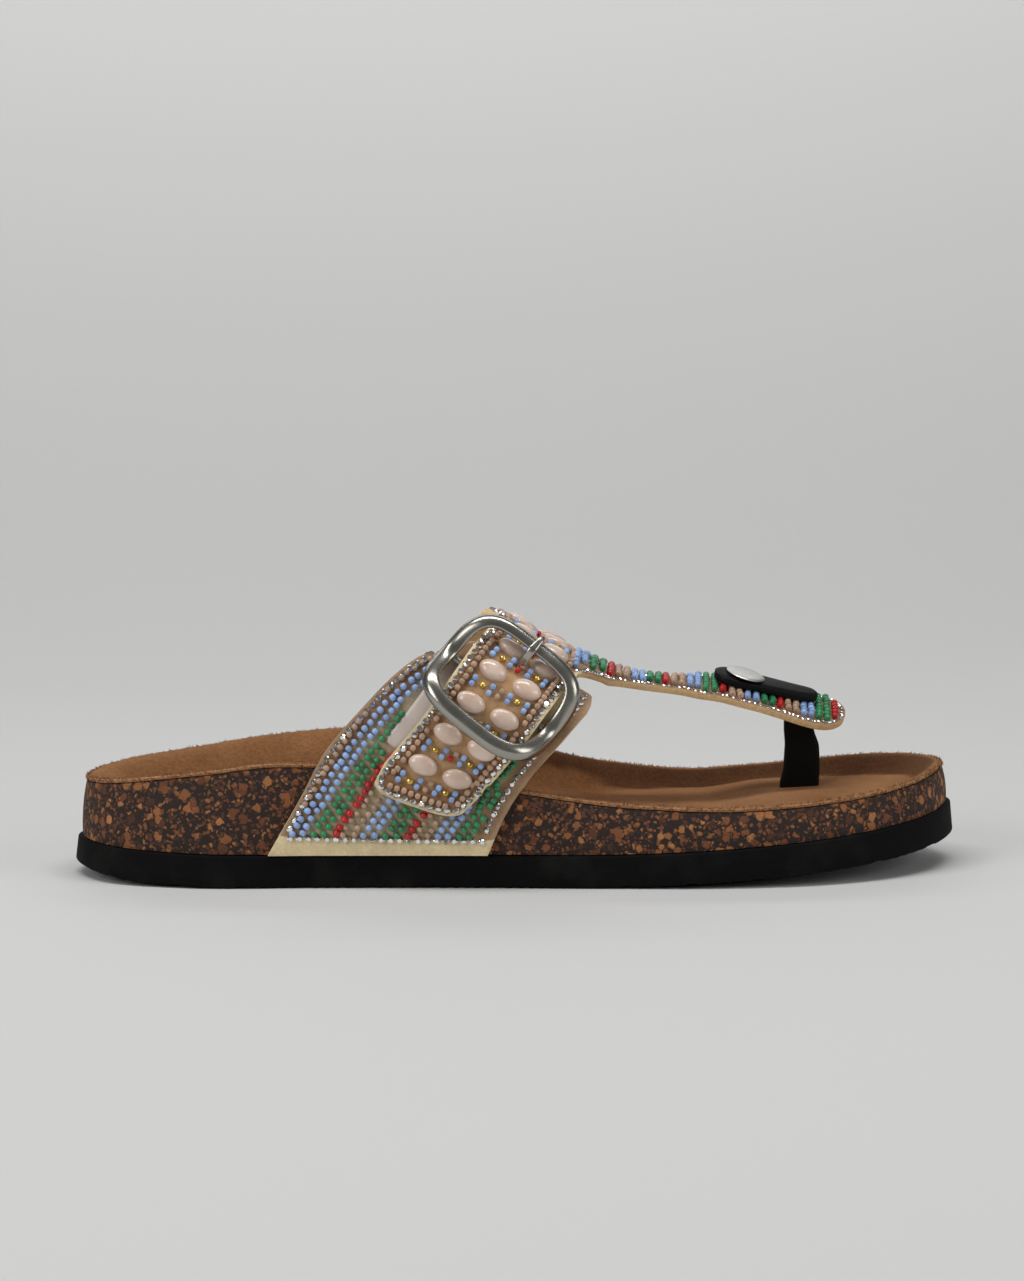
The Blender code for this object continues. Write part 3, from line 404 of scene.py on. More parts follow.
def turned(profile: Array, count: int) -> Array:
    """A profile (radius, height) turned about Z: rows go down the profile, columns round it."""
    turn = np.linspace(0, 2 * math.pi, count, endpoint=False)
    rim = np.stack([np.cos(turn), np.sin(turn)], 1)
    flat = profile[:, None, :1] * rim[None]
    return np.concatenate([flat, np.broadcast_to(profile[:, None, 1:], (*flat.shape[:2], 1))], 2)


# Finishes


SHADER = "Principled BSDF"
COORDINATES = "ShaderNodeTexCoord"
NOISE = "ShaderNodeTexNoise"
CELLS = "ShaderNodeTexVoronoi"
RAMP = "ShaderNodeValToRGB"
RANGE = "ShaderNodeMapRange"
MIX = "ShaderNodeMix"
MATHS = "ShaderNodeMath"
VECTOR = "ShaderNodeVectorMath"
BUMP = "ShaderNodeBump"
ATTRIBUTE = "ShaderNodeAttribute"
HUE = "ShaderNodeHueSaturation"
SPLIT = "ShaderNodeSeparateColor"
MIX_FACTOR, MIX_A, MIX_B = 0, 6, 7  # a mix's sockets for colours
MAIN_OUTPUT = {MIX: 2, ATTRIBUTE: "Fac", COORDINATES: "Object"}  # for the other nodes, the first


def linear(code: str) -> tuple[float, float, float, float]:
    """An sRGB hex colour as linear red, green, blue and alpha."""
    channels = np.array([int(code[i : i + 2], 16) for i in (1, 3, 5)]) / 255
    values = np.where(channels <= 0.04045, channels / 12.92, ((channels + 0.055) / 1.055) ** 2.4)
    return (*values.tolist(), 1.0)


def node(
    tree: Tree,
    kind: str,
    inputs: dict[str | int, object] | None = None,
    stops: list[tuple[float, str]] | None = None,
    **settings: object,
) -> bpy.types.Node:
    """Adds a node, or takes the one that is there by that name, with its settings and links.

    Args:
        tree: the material's nodes.
        kind: the node's type, or the name of a node in the tree.
        inputs: sockets by name or number, and what each gets: an output, a node for its main output, a hex
            colour or a value.
        stops: a colour ramp's places and hex colours.
        settings: the node's own properties.

    Returns:
        The node.
    """
    made = tree.nodes.get(kind) or tree.nodes.new(kind)
    if kind == MIX:
        made.data_type = "RGBA"
    for key, value in settings.items():
        setattr(made, key, value)
    for number, (place, code) in enumerate(stops or []):
        elements = made.color_ramp.elements
        stop = elements[number] if number < 2 else elements.new(place)
        stop.position = place
        stop.color = linear(code)
    for key, value in (inputs or {}).items():
        if isinstance(value, bpy.types.Node):
            value = value.outputs[MAIN_OUTPUT.get(value.bl_idname, 0)]
        if isinstance(value, bpy.types.NodeSocket):
            tree.links.new(value, made.inputs[key])
        else:
            made.inputs[key].default_value = linear(value) if isinstance(value, str) else value
    return made


def per_metre(size: float) -> float:
    """A pattern's scale from the size of one cell of it in millimetres."""
    return 1 / (size * MM)


class Finish:
    """A finish, which makes its material once."""

    name: str

    def material(self) -> bpy.types.Material:
        """The finish as a Blender material."""
        found = bpy.data.materials.get(self.name)
        if found is None:
            found = bpy.data.materials.new(self.name)
            found.use_nodes = True
            self.wire(found.node_tree)
        return found

    def wire(self, tree: Tree) -> None:
        """Adds the finish's nodes."""
        raise NotImplementedError


@dataclass(frozen=True)
class PressedCork(Finish):
    """Pressed cork granulate: rounded orange and brown granules and crumbs in a dark binder, cut and sanded."""

    name: str = "pressed_cork"
    binder: str = "#2C1F1A"
    granule: float = 2.8
    crumb: float = 1.15
    pit: float = 0.4

    def wire(self, tree: Tree) -> None:
        """Crumbs, then granules over them: warped cells filled out to a radius drawn for each, coloured by chance."""
        coords = node(tree, COORDINATES)
        wander = node(tree, NOISE, {"Vector": coords, "Scale": per_metre(2.0), "Detail": 5.0})
        centred = node(tree, VECTOR, {0: wander.outputs["Color"], 1: (0.5, 0.5, 0.5)}, operation="SUBTRACT")
        bend = node(tree, VECTOR, {0: centred, "Scale": 0.0026}, operation="SCALE")
        bent = node(tree, VECTOR, {0: coords, 1: bend}, operation="ADD")
        grain = node(tree, NOISE, {"Vector": coords, "Scale": per_metre(self.pit), "Detail": 4.0})
        colour, height = self.binder, grain
        browns = (
            (self.crumb, 0.3, 0.62, ((0.0, "#3A261D"), (1.0, "#A66F42"), (0.45, "#673E26"), (0.8, "#8A5632"))),
            (self.granule, 0.2, 0.58, ((0.0, "#4A2E1E"), (1.0, "#BC804E"), (0.35, "#7A4628"), (0.75, "#A0663A"))),
        )
        for size, least, most, stops in browns:
            cells = node(tree, CELLS, {"Vector": bent, "Scale": per_metre(size)})
            chance = node(tree, SPLIT, {0: cells.outputs["Color"]})
            radius = node(tree, RANGE, {0: chance.outputs[1], 3: least, 4: most})
            inside = node(tree, MATHS, {0: radius, 1: cells.outputs["Distance"]}, operation="SUBTRACT")
            filled = node(tree, RANGE, {0: inside, 1: -0.02, 2: 0.1})
            tone = node(tree, RAMP, {0: chance}, stops=list(stops))
            colour = node(tree, MIX, {MIX_FACTOR: filled, MIX_A: colour, MIX_B: tone})
            height = node(tree, MATHS, {0: height, 1: filled}, operation="ADD")
        mottled = node(tree, RANGE, {0: grain, 1: 0.3, 2: 0.7, 3: 0.66, 4: 1.06})
        shaded = node(tree, HUE, {"Color": colour, "Value": mottled})
        relief = node(tree, BUMP, {"Height": height, "Strength": 0.4, "Distance": 0.0005})
        rough = node(tree, RANGE, {0: grain, 3: 0.58, 4: 0.85})
        node(tree, SHADER, {"Base Color": shaded, "Roughness": rough, "Specular IOR Level": 0.35, "Normal": relief})


@dataclass(frozen=True)
class SplitSuede(Finish):
    """Brushed split suede: a short nap that lies one way in some spots and another in others."""

    name: str = "split_suede"
    light: str = "#9C6E48"
    mid: str = "#805634"
    rim: str = "#B88558"
    # the colour of the painted shade on the steep walls, which is partly also a darker nap
    dark: str = "#452816"
    blotch: float = 16.0
    nap: float = 1.0  # the real nap is 0.2 mm; drawn coarser, so that it shows

    def wire(self, tree: Tree) -> None:
        """Blotches of nap over fine fibres; the steep walls are darker, partly painted shade and partly nap that
        stands away from the light.
        """
        coords = node(tree, COORDINATES)
        blotch = node(tree, NOISE, {"Vector": coords, "Scale": per_metre(self.blotch), "Detail": 5.0})
        fibre = node(tree, NOISE, {"Vector": coords, "Scale": per_metre(self.nap), "Detail": 6.0, "Roughness": 0.7})
        # The wall attribute mixes in painted shade on the steep walls, and the paler rim where it is below zero.
        wall = node(tree, ATTRIBUTE, attribute_name="wall")
        lying = node(tree, RANGE, {0: blotch, 1: 0.3, 2: 0.72})
        colour = node(tree, MIX, {MIX_FACTOR: lying, MIX_A: self.mid, MIX_B: self.light})
        painted_wall_shade = node(tree, MIX, {MIX_FACTOR: wall, MIX_A: colour, MIX_B: self.dark})
        pale = node(tree, RANGE, {0: wall, 1: 0.0, 2: -1.0, 3: 0.0, 4: 0.55})
        edged = node(tree, MIX, {MIX_FACTOR: pale, MIX_A: painted_wall_shade, MIX_B: self.rim})
        value = node(tree, RANGE, {0: fibre, 1: 0.3, 2: 0.7, 3: 0.7, 4: 1.24})
        shaded = node(tree, HUE, {"Color": edged, "Value": value})
        relief = node(tree, BUMP, {"Height": fibre, "Strength": 0.7, "Distance": 0.0008})
        node(
            tree, SHADER,
            {
                "Base Color": shaded, "Roughness": 0.95, "Specular IOR Level": 0.2, "Sheen Weight": 0.25,
                "Sheen Roughness": 0.5, "Sheen Tint": "#D9A877", "Normal": relief,
            },
        )


@dataclass(frozen=True)
class SuedeFibre(Finish):
    """Single suede fibres: the suede's brown, lighter or darker fibre by fibre, with no gloss."""

    name: str = "suede_fibre"

    def wire(self, tree: Tree) -> None:
        """Two browns mixed by each fibre's own tint."""
        tint = node(tree, ATTRIBUTE, attribute_name="tint")
        colour = node(tree, MIX, {MIX_FACTOR: tint, MIX_A: "#5A3820", MIX_B: "#96683F"})
        node(tree, SHADER, {"Base Color": colour, "Roughness": 0.95})


@dataclass(frozen=True)
class Microfibre(Finish):
    """Pressed microfibre felt of the straps: bare at its hem and rim, stained brown by the glue along the chain."""

    name: str
    rim: str
    glued: str
    ground: str
    hem: str = "#DECAA0"
    rim_width: float = 0.8
    glued_width: float = 5.0
    fibre: float = 0.8  # the real fibre is finer; drawn as coarse as shows

    def wire(self, tree: Tree) -> None:
        """Bands by the distance to the sheet's edge, which is in its edge attribute in millimetres, -1 on the hem."""
        coords = node(tree, COORDINATES)
        edge = node(tree, ATTRIBUTE, attribute_name="edge")
        fibre = node(tree, NOISE, {"Vector": coords, "Scale": per_metre(self.fibre), "Detail": 6.0, "Roughness": 0.7})
        stain = node(tree, NOISE, {"Vector": coords, "Scale": per_metre(5.0), "Detail": 3.0})
        share = node(tree, RANGE, {0: edge, 1: -1.0, 2: 9.0})
        bands = (
            (-0.9, self.hem), (6.5, self.ground), (-0.5, self.hem), (0.0, self.rim), (self.rim_width, self.rim),
            (self.rim_width + 0.3, self.glued), (self.glued_width, self.glued),
        )
        colour = node(tree, RAMP, {0: share}, stops=[((place + 1) / 10, code) for place, code in bands])
        blend = node(tree, MATHS, {0: fibre, 1: stain}, operation="ADD")
        value = node(tree, RANGE, {0: blend, 1: 0.7, 2: 1.3, 3: 0.78, 4: 1.16})
        shaded = node(tree, HUE, {"Color": colour, "Value": value})
        relief = node(tree, BUMP, {"Height": fibre, "Strength": 0.5, "Distance": 0.0004})
        node(tree, SHADER, {"Base Color": shaded, "Roughness": 0.92, "Sheen Weight": 0.15, "Normal": relief})


@dataclass(frozen=True)
class CutFelt(Finish):
    """The same felt without glue on it, for lining and cut edges: warm beige with loose fibres."""

    name: str = "felt_cut"
    colour: str = "#F2D6A4"
    deep: str = "#D6B17C"
    fibre: float = 0.7

    def wire(self, tree: Tree) -> None:
        """Two beiges mixed by fibres, with a soft bump."""
        coords = node(tree, COORDINATES)
        fibre = node(
            tree, NOISE, {"Vector": coords, "Scale": per_metre(self.fibre), "Detail": 6.0, "Roughness": 0.75},
        )
        soft = node(tree, RANGE, {0: fibre, 1: 0.35, 2: 0.65})
        colour = node(tree, MIX, {MIX_FACTOR: soft, MIX_A: self.deep, MIX_B: self.colour})
        relief = node(tree, BUMP, {"Height": fibre, "Strength": 0.5, "Distance": 0.0004})
        node(
            tree, SHADER,
            {
                "Base Color": colour, "Roughness": 0.95, "Sheen Weight": 0.3, "Sheen Tint": "#E8CFA0",
                "Normal": relief,
            },
        )


@dataclass(frozen=True)
class GlassBead(Finish):
    """Opaque pressed glass seed bead, fire polished: a clear gloss over a colour that differs from bead to bead."""

    name: str
    colour: str
    metallic: float = 0.0
    roughness: float = 0.4

    def wire(self, tree: Tree) -> None:
        """The bead's colour, a little lighter or darker by its own tint, under a thin coat."""
        tint = node(tree, ATTRIBUTE, attribute_name="tint")
        value = node(tree, RANGE, {0: tint, 3: 0.8, 4: 1.14})
        shaded = node(tree, HUE, {"Color": self.colour, "Value": value})
        node(
            tree, SHADER,
            {
                "Base Color": shaded, "Metallic": self.metallic, "Roughness": self.roughness, "Coat Weight": 0.25,
                "Coat Roughness": 0.2,
            },
        )


class Bead(Enum):
    """The beads' finishes, numbered as their slots on a piece."""

    TAN = GlassBead("bead_tan", "#B5957C")
    BLUE = GlassBead("bead_blue", "#92B0DF")
    GREEN = GlassBead("bead_green", "#2C8656")
    RED = GlassBead("bead_red", "#B80D12")
    GOLD = GlassBead("bead_gold", "#D9B85E", 1.0, 0.3)

    @classmethod
    def finishes(cls) -> list[Finish]:
        """Every bead finish in slot order."""
        return [bead.value for bead in cls]

    @classmethod
    def numbers(cls, letters: str) -> Array:
        """Slot numbers of a row of beads charted as letters, such as TTBBGGR.

        Args:
            letters: T tan, B blue, G green, R red, O gold.

        Returns:
            One number for each letter.
        """
        return np.array(["TBGRO".index(letter) for letter in letters])

    @classmethod
    def sizes(cls) -> Array:
        """How big each finish's beads run, by slot number."""
        return np.array([0.88, 1.0, 1.0, 1.07, 1.0])


STRIPES = "BBGGRTT"  # a common striped repeat


@dataclass(frozen=True)
class CutCrystal(Finish):
    """Foiled glass rhinestone: facets that mirror the light or the dark of the room."""

    name: str = "foiled_crystal"

    def wire(self, tree: Tree) -> None:
        """A mirror a little brighter or duller from stone to stone."""
        tint = node(tree, ATTRIBUTE, attribute_name="tint")
        value = node(tree, RANGE, {0: tint, 3: 0.85, 4: 1.0})
        shaded = node(tree, HUE, {"Color": "#FAFAFA", "Value": value})
        node(tree, SHADER, {"Base Color": shaded, "Metallic": 1.0, "Roughness": 0.07})


@dataclass(frozen=True)
class PolishedResin(Finish):
    """Cast resin cabochon in a pinkish beige, tumbled: faintly clouded, with a hard wet gloss."""

    name: str = "resin_stone"
    colour: str = "#E0C9B8"
    cloud: str = "#D0B29E"

    def wire(self, tree: Tree) -> None:
        """Soft clouds of two near colours under a clear coat."""
        coords = node(tree, COORDINATES)
        cloud = node(tree, NOISE, {"Vector": coords, "Scale": per_metre(5.0), "Detail": 2.0})
        soft = node(tree, RANGE, {0: cloud, 1: 0.35, 2: 0.65})
        tint = node(tree, ATTRIBUTE, attribute_name="tint")
        value = node(tree, RANGE, {0: tint, 3: 0.94, 4: 1.05})
        colour = node(tree, MIX, {MIX_FACTOR: soft, MIX_A: self.cloud, MIX_B: self.colour})
        shaded = node(tree, HUE, {"Color": colour, "Value": value})
        node(
            tree, SHADER,
            {
                "Base Color": shaded, "Roughness": 0.3, "Coat Weight": 0.8, "Coat Roughness": 0.05,
                "Subsurface Weight": 0.08, "Subsurface Radius": (0.0012, 0.0008, 0.0006),
            },
        )


@dataclass(frozen=True)
class SatinNickel(Finish):
    """Nickel plated cast zinc, polished then lightly brushed: clear streaks with faint handling marks."""

    name: str = "satin_nickel"
    colour: str = "#A8A59C"
    low: float = 0.2
    high: float = 0.3

    def wire(self, tree: Tree) -> None:
        """Roughness that wanders with handling, and a fine brushed bump."""
        coords = node(tree, COORDINATES)
        handled = node(tree, NOISE, {"Vector": coords, "Scale": per_metre(7.0), "Detail": 4.0})
        brushed = node(tree, NOISE, {"Vector": coords, "Scale": per_metre(0.5), "Detail": 3.0})
        rough = node(tree, RANGE, {0: handled, 1: 0.3, 2: 0.7, 3: self.low, 4: self.high})
        relief = node(tree, BUMP, {"Height": brushed, "Strength": 0.03, "Distance": 0.0002})
        node(tree, SHADER, {"Base Color": self.colour, "Metallic": 1.0, "Roughness": rough, "Normal": relief})


@dataclass(frozen=True)
class MouldedBlack(Finish):
    """Black moulded plastic or foam: a fine mould texture, matt on the sole and satin on the toe post."""

    name: str
    colour: str = "#0D0D0E"
    roughness: float = 0.5
    grain: float = 0.6
    relief: float = 0.25
    dust: float = 0.0
    gloss: float = 0.3

    def wire(self, tree: Tree) -> None:
        """A pebbled bump, and a little pale dust in patches where there is any."""
        coords = node(tree, COORDINATES)
        pebble = node(tree, NOISE, {"Vector": coords, "Scale": per_metre(self.grain), "Detail": 4.0})
        marks = node(tree, NOISE, {"Vector": coords, "Scale": per_metre(14.0), "Detail": 5.0})
        scuffed = node(tree, RANGE, {0: marks, 1: 0.5, 2: 0.75, 3: 0.0, 4: self.dust})
        colour = node(tree, MIX, {MIX_FACTOR: scuffed, MIX_A: self.colour, MIX_B: "#4A4744"})
        rough = node(tree, RANGE, {0: pebble, 3: self.roughness - 0.08, 4: self.roughness + 0.08})
        bump = node(tree, BUMP, {"Height": pebble, "Strength": self.relief, "Distance": 0.0004})
        node(
            tree, SHADER,
            {"Base Color": colour, "Roughness": rough, "Specular IOR Level": self.gloss, "Normal": bump},
        )


@dataclass(frozen=True)
class CloudyVinyl(Finish):
    """Soft clear vinyl, gone cloudy: whitish, half see-through, with a dull gloss."""

    name: str = "cloudy_vinyl"

    def wire(self, tree: Tree) -> None:
        """A milky body that lets part of the light through, cloudier in patches."""
        coords = node(tree, COORDINATES)
        cloud = node(tree, NOISE, {"Vector": coords, "Scale": per_metre(4.0), "Detail": 3.0})
        colour = node(tree, MIX, {MIX_FACTOR: cloud, MIX_A: "#E6D6CA", MIX_B: "#F6EEE8"})
        node(tree, SHADER, {"Base Color": colour, "Roughness": 0.22, "IOR": 1.52, "Transmission Weight": 0.3})


@dataclass(frozen=True)
class PaperSweep(Finish):
    """Pale seamless paper under and behind the sandal."""

    name: str = "paper_sweep"
    colour: str = "#D2D2D1"

    def wire(self, tree: Tree) -> None:
        """A pale grey with next to no gloss."""
        node(tree, SHADER, {"Base Color": self.colour, "Roughness": 0.7, "Specular IOR Level": 0.25})


# The sandal's form, as the solids have it


@dataclass
class FootForm:
    """Outline, rims and instep of the sandal, and the last that its straps lie on."""

    half_length: float = 126.0
    side_shift: float = 2.4
    gap: float = 0.3
    sole_thickness: float = 9.0
    toe_spring: float = 8.0
    spring_start: float = 10.0
    spring_power: float = 1.7
    heel_rise: float = 1.6
    heel_rise_start: float = -66.0
    heel_bevel: float = 1.4
    heel_bevel_length: float = 20.0
    cork_draft: float = 1.3
    cork_bulge: float = 0.5
    spine_share: float = 0.74
    fine: int = 48
    outline: Table = table_field(
        "x y", (-126.4, 0), (-117, -21.5), (-97, -31.5), (-60, -34), (-20, -37), (20, -41.5), (52, -44),
        (82, -40.5), (106, -28), (121, -9), (126, 9), (121, 24), (106, 35.5), (82, 42), (55, 43.5), (25, 38),
        (-10, 30.5), (-50, 29.5), (-95, 31.5), (-117, 22),
    )
    rim: Table = table_field(
        "x outer inner bed slope_outer slope_inner", (-126, 28, 28.2, 18, 18, 18),
        (-112, 30.2, 29.9, 17.5, 20, 20), (-91, 33, 32.4, 17.5, 20, 22), (-72, 35, 35.3, 18.5, 20, 24),
        (-50, 34.5, 37.3, 20, 18, 24), (-28, 32, 36.9, 21, 16, 22), (2, 26.8, 31.6, 20, 12, 16),
        (30, 23.4, 25.4, 17.5, 7, 8), (56, 22.4, 22.4, 17.2, 5, 5), (76, 23.2, 23.6, 19.8, 5, 5),
        (90, 24.2, 25.1, 20.5, 5, 5), (110, 26.4, 27.6, 22.3, 5.5, 5.5), (126, 29, 29, 25, 6, 6),
    )
    ridge: Table = table_field(
        "x y z", (-90, 2.4, 112), (-52, 2.4, 95), (-27, 3.4, 82), (-9, 4.4, 72.8), (4, 5.4, 65.3),
        (18, 6.9, 58.7), (28, 8.1, 54.2), (38, 9.5, 51.6), (48, 11, 50.3), (57, 12.6, 49.6), (66, 14.4, 47.7),
        (76, 16.1, 45.0), (86, 17.9, 42.5), (106, 20.9, 39.4),
    )

    def __post_init__(self) -> None:
        """Works out the outline's two sides once, as dense polylines from heel to toe."""
        points = np.stack([self.outline["x"], self.outline["y"]], 1)
        middle = (points.max(0) + points.min(0)) / 2
        points = points - middle + (0, self.side_shift)
        after = np.roll(points, -1, 0)
        ahead = np.linalg.norm(after - points, axis=1)[:, None]
        back = np.roll(ahead, 1, 0)
        chord = (after - points) / ahead
        tangent = (chord * back + np.roll(chord, 1, 0) * ahead) / (back + ahead)
        t = np.linspace(0, 1, self.fine, endpoint=False)[None, :, None]
        curve = (
            (1 + 2 * t) * (1 - t) ** 2 * points[:, None]
            + t * (1 - t) ** 2 * (ahead * tangent)[:, None]
            + t**2 * (3 - 2 * t) * after[:, None]
            + t**2 * (t - 1) * (ahead * np.roll(tangent, -1, 0))[:, None]
        ).reshape(-1, 2)
        toe = int(np.argmax(curve[:, 0]))
        self.outer_side = curve[: toe + 1]
        self.inner_side = np.concatenate([curve[toe:], curve[:1]])[::-1]

    def loop(self, count: int) -> Array:
        """Points round the footbed's base, from the heel by the outer side to the toe and back by the inner."""
        shares = np.linspace(0, 1, count // 2 + 1)
        outer, inner = (
            at_lengths(side, lengths(side), shares * lengths(side)[-1]) for side in (self.outer_side, self.inner_side)
        )
        return np.concatenate([outer, inner[-2:0:-1]])

    def spring(self, x: Array) -> Array:
        """Rise of the sole: level in the middle, a curve up to the toe and a slight one up to the heel."""
        toe = np.clip((x - self.spring_start) / (self.half_length - self.spring_start), 0, None)
        heel = np.clip((self.heel_rise_start - x) / (self.half_length + self.heel_rise_start), 0, None)
        return self.toe_spring * toe**self.spring_power + self.heel_rise * heel**2

    def underside(self, x: Array) -> Array:
        """Height of the sole's underside: the sole's rise, and a short bevel at the back of the heel."""
        bevel = np.clip((self.heel_bevel_length - self.half_length - x) / self.heel_bevel_length, 0, None) ** 2
        return self.spring(x) + self.heel_bevel * bevel

    def sole_top(self, x: Array) -> Array:
        """Height of the outsole's upper face."""
        return self.sole_thickness + self.spring(x)

    def half_section(self, x: Array, inner: Array) -> tuple[Array, Array, Array]:
        """Each half section of the last: the footbed's wall, then a quarter ellipse up to the ridge.

        Args:
            x: stations.
            inner: whether each is on the inner side.

        Returns:
            y, z and length along the section, a row for each station.
        """
        sign = np.where(inner, 1.0, -1.0)
        rim_z = np.where(inner, *(smooth(self.rim["x"], self.rim[side], x) for side in ("inner", "outer")))
        base_z = self.sole_top(x) + self.gap
        sides = [np.interp(x, side[:, 0], side[:, 1]) for side in (self.outer_side, self.inner_side)]
        base_y = np.where(inner, sides[1], sides[0]) + sign * self.gap
        rim_y = base_y - sign * self.cork_draft
        up = np.linspace(0, 1, self.fine // 4, endpoint=False)[None, :]
        bulge = (sign * self.cork_bulge)[:, None] * 4 * up * (1 - up)
        wall_y = base_y[:, None] + (rim_y - base_y)[:, None] * up + bulge
        wall_z = base_z[:, None] + (rim_z - base_z)[:, None] * up
        turn = np.linspace(0, math.pi / 2, self.fine)[None, :]
        ridge_y = smooth(self.ridge["x"], self.ridge["y"], x)[:, None]
        ridge_z = smooth(self.ridge["x"], self.ridge["z"], x)[:, None]
        ys = np.hstack([wall_y, ridge_y + (rim_y[:, None] - ridge_y) * np.cos(turn)])
        zs = np.hstack([wall_z, rim_z[:, None] + (ridge_z - rim_z[:, None]) * np.sin(turn)])
        steps = np.hypot(np.diff(ys, axis=1), np.diff(zs, axis=1))
        return ys, zs, np.hstack([np.zeros((len(x), 1)), np.cumsum(steps, axis=1)])

    def last(self, x: Array, u: Array) -> Array:
        """Points of the last.

        Args:
            x: stations along the foot.
            u: shares round the section: 0 at the outer sole edge, 1 on the ridge, 2 at the inner sole edge.

        Returns:
            The points, with a last axis of three.
        """
        x, u = np.broadcast_arrays(np.asarray(x, float), np.asarray(u, float))
        shape, x, u = x.shape, x.ravel(), u.ravel()
        ys, zs, along = self.half_section(x, u > 1)
        place = np.where(u > 1, 2 - u, u) * along[:, -1]
        i = np.clip((along < place[:, None]).sum(1) - 1, 0, along.shape[1] - 2)
        row = np.arange(len(x))
        t = (place - along[row, i]) / (along[row, i + 1] - along[row, i])
        y = ys[row, i] + t * (ys[row, i + 1] - ys[row, i])
        z = zs[row, i] + t * (zs[row, i + 1] - zs[row, i])
        return np.stack([x, y, z], 1).reshape(*shape, 3)

    def normal(self, x: Array, u: Array) -> Array:
        """Unit normals of the last, away from the foot, from small steps along and round it."""
        dx, du = 0.4, 0.006
        along = self.last(np.add(x, dx), u) - self.last(np.subtract(x, dx), u)
        round_it = self.last(x, np.add(u, du)) - self.last(x, np.subtract(u, du))
        return unit(np.cross(along, round_it))

    def lifted(self, x: Array, u: Array, lift: Array | float = 0.0) -> Array:
        """Points lifted out from the last."""
        return self.last(x, u) + self.normal(x, u) * np.asarray(lift, float)[..., None]

    def from_ridge(self, x: Array, u: Array) -> Array:
        """How far a share u lies from the ridge along the section, positive to the inner side."""
        flat, inner = np.ravel(x), np.ravel(u) > 1
        return (u - 1) * self.half_section(flat, inner)[2][:, -1].reshape(np.shape(x))

    def beside_ridge(self, x: Array, distance: Array) -> Array:
        """The share u that lies this far from the ridge along the section, to the inner side if positive."""
        x, distance = np.broadcast_arrays(np.asarray(x, float), np.asarray(distance, float))
        flat = x.ravel()
        sides = (np.full(len(flat), side) for side in (True, False))
        reach = (self.half_section(flat, side)[2][:, -1].reshape(x.shape) for side in sides)
        return 1 + distance / np.where(distance > 0, *reach)


class Rings:
    """Rings round the footbed, by their distance in from its outline or their share of the way out."""

    def __init__(self, form: FootForm, count: int, grow: float = 0.0) -> None:
        """Places the outline's points and the spine that rings close on.

        Args:
            form: the sandal's form.
            count: points round a ring.
            grow: how far outside the footbed's base the outline lies.
        """
        loop = form.loop(count)
        ahead = np.roll(loop, -1, 0) - np.roll(loop, 1, 0)
        self.form = form
        self.loop = loop + grow * unit(np.stack([ahead[:, 1], -ahead[:, 0]], 1))
        self.spine = (self.loop + self.loop[(-np.arange(count)) % count]) / 2 * (form.spine_share, 1.0)
        self.ray = self.spine - self.loop
        self.reach = np.linalg.norm(self.ray, axis=1)
        self.inner = np.arange(count) > count // 2
        self.station = self.loop[:, 0]

    def inset(self, distance: float) -> Array:
        """The ring this far in from the outline."""
        return self.loop + self.ray * (distance / self.reach)[:, None]

    def share(self, share: float) -> Array:
        """The ring at this share of the way from the spine, 0, to the outline, 1."""
        return self.spine - self.ray * share

    def side(self, column: str) -> Array:
        """The rim table's outer or inner column at each point's station."""
        rim = self.form.rim
        outer = smooth(rim["x"], rim[f"{column}outer"], self.station)
        return np.where(self.inner, smooth(rim["x"], rim[f"{column}inner"], self.station), outer)


def raised(ring: Array, heights: Array | float) -> Array:
    """A flat ring lifted to the given heights."""
    return np.column_stack([ring, np.broadcast_to(heights, len(ring))])


# Sole, footbed and insole


@dataclass
class Outsole:
    """Black foam sole with a rounded lower edge, cross grooves and a fine tread between them."""

    form: FootForm
    step: float = 2.0
    chamfer: float = 0.9
    draft: float = 0.7
    top_round: float = 0.5
    groove_pitch: float = 18.0
    groove_width: float = 2.6
    groove_depth: float = 1.3
    tread_pitch: float = 3.0
    tread_depth: float = 0.35
    count: int = 720
    under_rows: int = 12

    def tread(self, x: Array) -> Array:
        """How far the underside is cut in: square grooves, and shallow ribs as a wave between them."""
        from_groove = np.abs((x / self.groove_pitch) % 1 - 0.5) * self.groove_pitch
        groove = np.clip((self.groove_width / 2 - from_groove) / 0.5 + 0.5, 0, 1)
        rib = 0.5 - 0.5 * np.cos(2 * math.pi * x / self.tread_pitch)
        return np.maximum(groove * self.groove_depth, rib * self.tread_depth)

    def build(self) -> None:
        """Rings from the middle of the underside, out round the edge and in again over the top."""
        form, rings = self.form, Rings(self.form, self.count, self.step)
        rows = []
        for share in np.linspace(0, 1, self.under_rows):
            ring = rings.spine + (rings.inset(self.chamfer) - rings.spine) * share
            rows.append(raised(ring, form.underside(ring[:, 0]) + self.tread(ring[:, 0])))
        floor = form.underside(rings.station)
        for angle in np.linspace(0, math.pi / 2, 5)[1:]:
            ring = rings.inset(self.chamfer * (1 - math.sin(angle)))
            cut = self.tread(ring[:, 0]) * math.cos(angle)
            rows.append(raised(ring, np.maximum(floor + self.chamfer * (1 - math.cos(angle)), floor + cut)))
        top = form.sole_top(rings.station)
        low, high = floor + self.chamfer, top - self.top_round
        for share in (0.3, 0.65, 1.0):
            rows.append(raised(rings.inset(self.draft * share), low + (high - low) * share))
        for angle in np.linspace(0, math.pi / 2, 4)[1:]:
            ring = rings.inset(self.draft + self.top_round * (1 - math.cos(angle)))
            rows.append(raised(ring, high + self.top_round * math.sin(angle)))
        for share in (0.8, 0.4, 0.0):
            ring = rings.share(share)
            rows.append(raised(ring, form.sole_top(ring[:, 0])))
        surface = Surface.grid(np.stack(rows), wrap_columns=True)
        finish = MouldedBlack("foam_sole", "#070707", 0.8, 0.9, 0.35, 0.1, 0.12)
        make_piece("sole_foam", surface, [finish], ("outsole",), 50)


